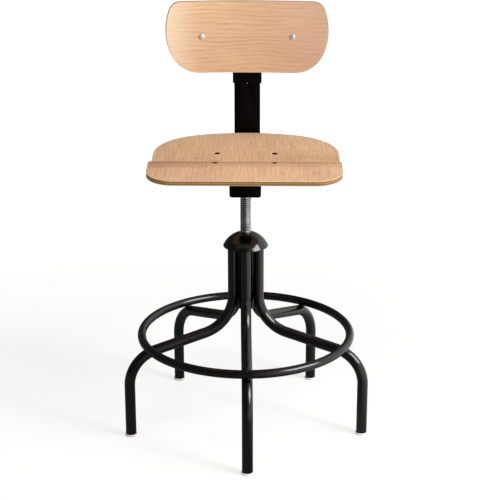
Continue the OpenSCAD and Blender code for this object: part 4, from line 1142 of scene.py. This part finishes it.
class CHAIR_OT_stage(bpy.types.Operator):
    """Set the pale floor, the studio light and the camera"""
    bl_idname = "chair.stage"
    bl_label = "Stage"

    def execute(self, context):
        scene, s = context.scene, context.scene.chair_stage
        scene.view_settings.view_transform = "Standard"

        world = bpy.data.worlds.new("studio")
        scene.world = world
        world.use_nodes = True
        tree = world.node_tree
        sky = tree.nodes["Background"]
        sky.inputs["Color"].default_value = (1, 0.995, 0.985, 1)
        sky.inputs["Strength"].default_value = s.sky
        white, mirrored = (tree.nodes.new("ShaderNodeBackground") for _ in range(2))
        white.inputs["Strength"].default_value = 1.0
        for background in (white, mirrored):
            background.inputs["Color"].default_value = (1, 1, 1, 1)
        self.graded(tree, "Generated", 0.05, 0.75, 0.08, mirrored.inputs["Strength"])
        self.by_ray(tree, (sky, mirrored, white), 1.0, tree.nodes["World Output"].inputs["Surface"])

        bm = bmesh.new()
        bmesh.ops.create_circle(bm, cap_ends=True, segments=96, radius=14)
        mesh = bpy.data.meshes.new("floor")
        bm.to_mesh(mesh)
        bm.free()
        floor = bpy.data.objects.new("floor", mesh)
        scene.collection.objects.link(floor)
        floor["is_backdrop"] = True
        material = bpy.data.materials.new("studio_floor")
        material.use_nodes = True
        tree = material.node_tree
        tree.nodes.remove(tree.nodes["Principled BSDF"])
        matt = tree.nodes.new("ShaderNodeBsdfDiffuse")
        matt.inputs["Color"].default_value = (*s.floor, 1)
        glow, mirrored = (tree.nodes.new("ShaderNodeEmission") for _ in range(2))
        glow.inputs["Strength"].default_value = 1.14
        self.graded(tree, "Object", 0.1, 0.75, 0.14, mirrored.inputs["Strength"])
        away = tree.nodes.new("ShaderNodeVectorMath")
        away.operation = "LENGTH"
        tree.links.new(tree.nodes["Texture Coordinate"].outputs["Object"], away.inputs[0])
        far = tree.nodes.new("ShaderNodeMapRange")
        set_range(far, 0.7, 2.0, 0.63, 0.96)
        tree.links.new(away.outputs["Value"], far.inputs["Value"])
        self.by_ray(tree, (matt, mirrored, glow), far.outputs["Result"],
                    tree.nodes["Material Output"].inputs["Surface"])
        mesh.materials.append(material)

        self.lamp("key", (3.6, -2.3, 2.4), (0.7, 0.7), s.key_power, False)
        self.lamp("side", (2.6, -1.2, 2.3), (2.1, 1.8), s.side_power)
        self.lamp("front", (-0.9, -2.0, 3.3), (1.4, 1.0), s.front_power, False)

        camera = bpy.data.cameras.new("camera")
        camera.lens = s.lens
        camera.sensor_width = 36
        camera.clip_end = 50
        eye = bpy.data.objects.new("camera", camera)
        scene.collection.objects.link(eye)
        turn = (Matrix.Rotation(s.yaw, 4, "Z") @ Matrix.Rotation(pi / 2 - s.pitch, 4, "X")
                @ Matrix.Rotation(s.roll, 4, "Z"))
        eye.matrix_world = Matrix.Translation(EYE) @ turn
        scene.camera = eye
        return {"FINISHED"}

    @staticmethod
    def graded(tree, place, left, right, dim, socket):
        """Whiten from left to right, as a white sweep beside the key light does."""
        where = tree.nodes.new("ShaderNodeTexCoord")
        split = tree.nodes.new("ShaderNodeSeparateXYZ")
        tree.links.new(where.outputs[place], split.inputs[0])
        side = tree.nodes.new("ShaderNodeMapRange")
        set_range(side, left, right, dim, 1.0)
        tree.links.new(split.outputs["X"], side.inputs["Value"])
        tree.links.new(side.outputs["Result"], socket)

    @staticmethod
    def by_ray(tree, shaders, seen, socket):
        """Light with the first shader, show the second in gloss and glass, and the third, by the
        share seen, to the camera."""
        path = tree.nodes.new("ShaderNodeLightPath")
        gloss = tree.nodes.new("ShaderNodeMath")
        gloss.operation = "MAXIMUM"
        tree.links.new(path.outputs["Is Glossy Ray"], gloss.inputs[0])
        tree.links.new(path.outputs["Is Transmission Ray"], gloss.inputs[1])
        view = tree.nodes.new("ShaderNodeMath")
        view.operation = "MULTIPLY"
        tree.links.new(path.outputs["Is Camera Ray"], view.inputs[0])
        if isinstance(seen, float):
            view.inputs[1].default_value = seen
        else:
            tree.links.new(seen, view.inputs[1])
        last = shaders[0]
        for share, shader in zip((gloss, view), shaders[1:]):
            mix = tree.nodes.new("ShaderNodeMixShader")
            tree.links.new(share.outputs[0], mix.inputs[0])
            tree.links.new(last.outputs[0], mix.inputs[1])
            tree.links.new(shader.outputs[0], mix.inputs[2])
            last = mix
        tree.links.new(last.outputs[0], socket)

    @staticmethod
    def lamp(name, place, size, watts, mirrored=True):
        """Add a rectangular lamp that faces the seat, and that gloss shows if it is mirrored."""
        light = bpy.data.lights.new(name, "AREA")
        light.shape = "RECTANGLE"
        light.size, light.size_y = size
        light.energy = watts
        lamp = bpy.data.objects.new(name, light)
        lamp.visible_glossy = mirrored
        bpy.context.scene.collection.objects.link(lamp)
        way = Vector((0, 0, 0.45)) - Vector(place)
        turn = way.to_track_quat("-Z", "Y").to_matrix().to_4x4()
        lamp.matrix_world = Matrix.Translation(place) @ turn


class CHAIR_PT_panel(bpy.types.Panel):
    """The chair's pieces in the order in which they are made"""
    bl_label = "Plywood Task Chair"
    bl_idname = "CHAIR_PT_panel"
    bl_space_type = "VIEW_3D"
    bl_region_type = "UI"
    bl_category = "Chair"

    def draw(self, context):
        for operator in OPERATORS:
            self.layout.operator(operator.bl_idname)


GROUPS = {"chair_base": BaseSizes, "chair_seat": SeatSizes, "chair_back": BackSizes,
          "chair_colours": ChairColours, "chair_stage": StageSettings}
OPERATORS = (CHAIR_OT_legs, CHAIR_OT_foot_ring, CHAIR_OT_glides, CHAIR_OT_dome_cap,
             CHAIR_OT_lift_screw, CHAIR_OT_steelwork, CHAIR_OT_seat, CHAIR_OT_back,
             CHAIR_OT_back_bolts, CHAIR_OT_knobs, CHAIR_OT_stage)


def register():
    for cls in (*GROUPS.values(), *OPERATORS, CHAIR_PT_panel):
        bpy.utils.register_class(cls)
    for name, group in GROUPS.items():
        setattr(bpy.types.Scene, name, PointerProperty(type=group))


def unregister():
    for name in GROUPS:
        delattr(bpy.types.Scene, name)
    for cls in reversed((*GROUPS.values(), *OPERATORS, CHAIR_PT_panel)):
        bpy.utils.unregister_class(cls)


def main():
    register()
    for operator in OPERATORS:
        group, name = operator.bl_idname.split(".")
        getattr(getattr(bpy.ops, group), name)()
    boxes = {"cad": cad_box, "visual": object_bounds()}
    {key: [list(low), list(high)] for key, (low, high) in boxes.items()}


if __name__ == "__main__":
    main()
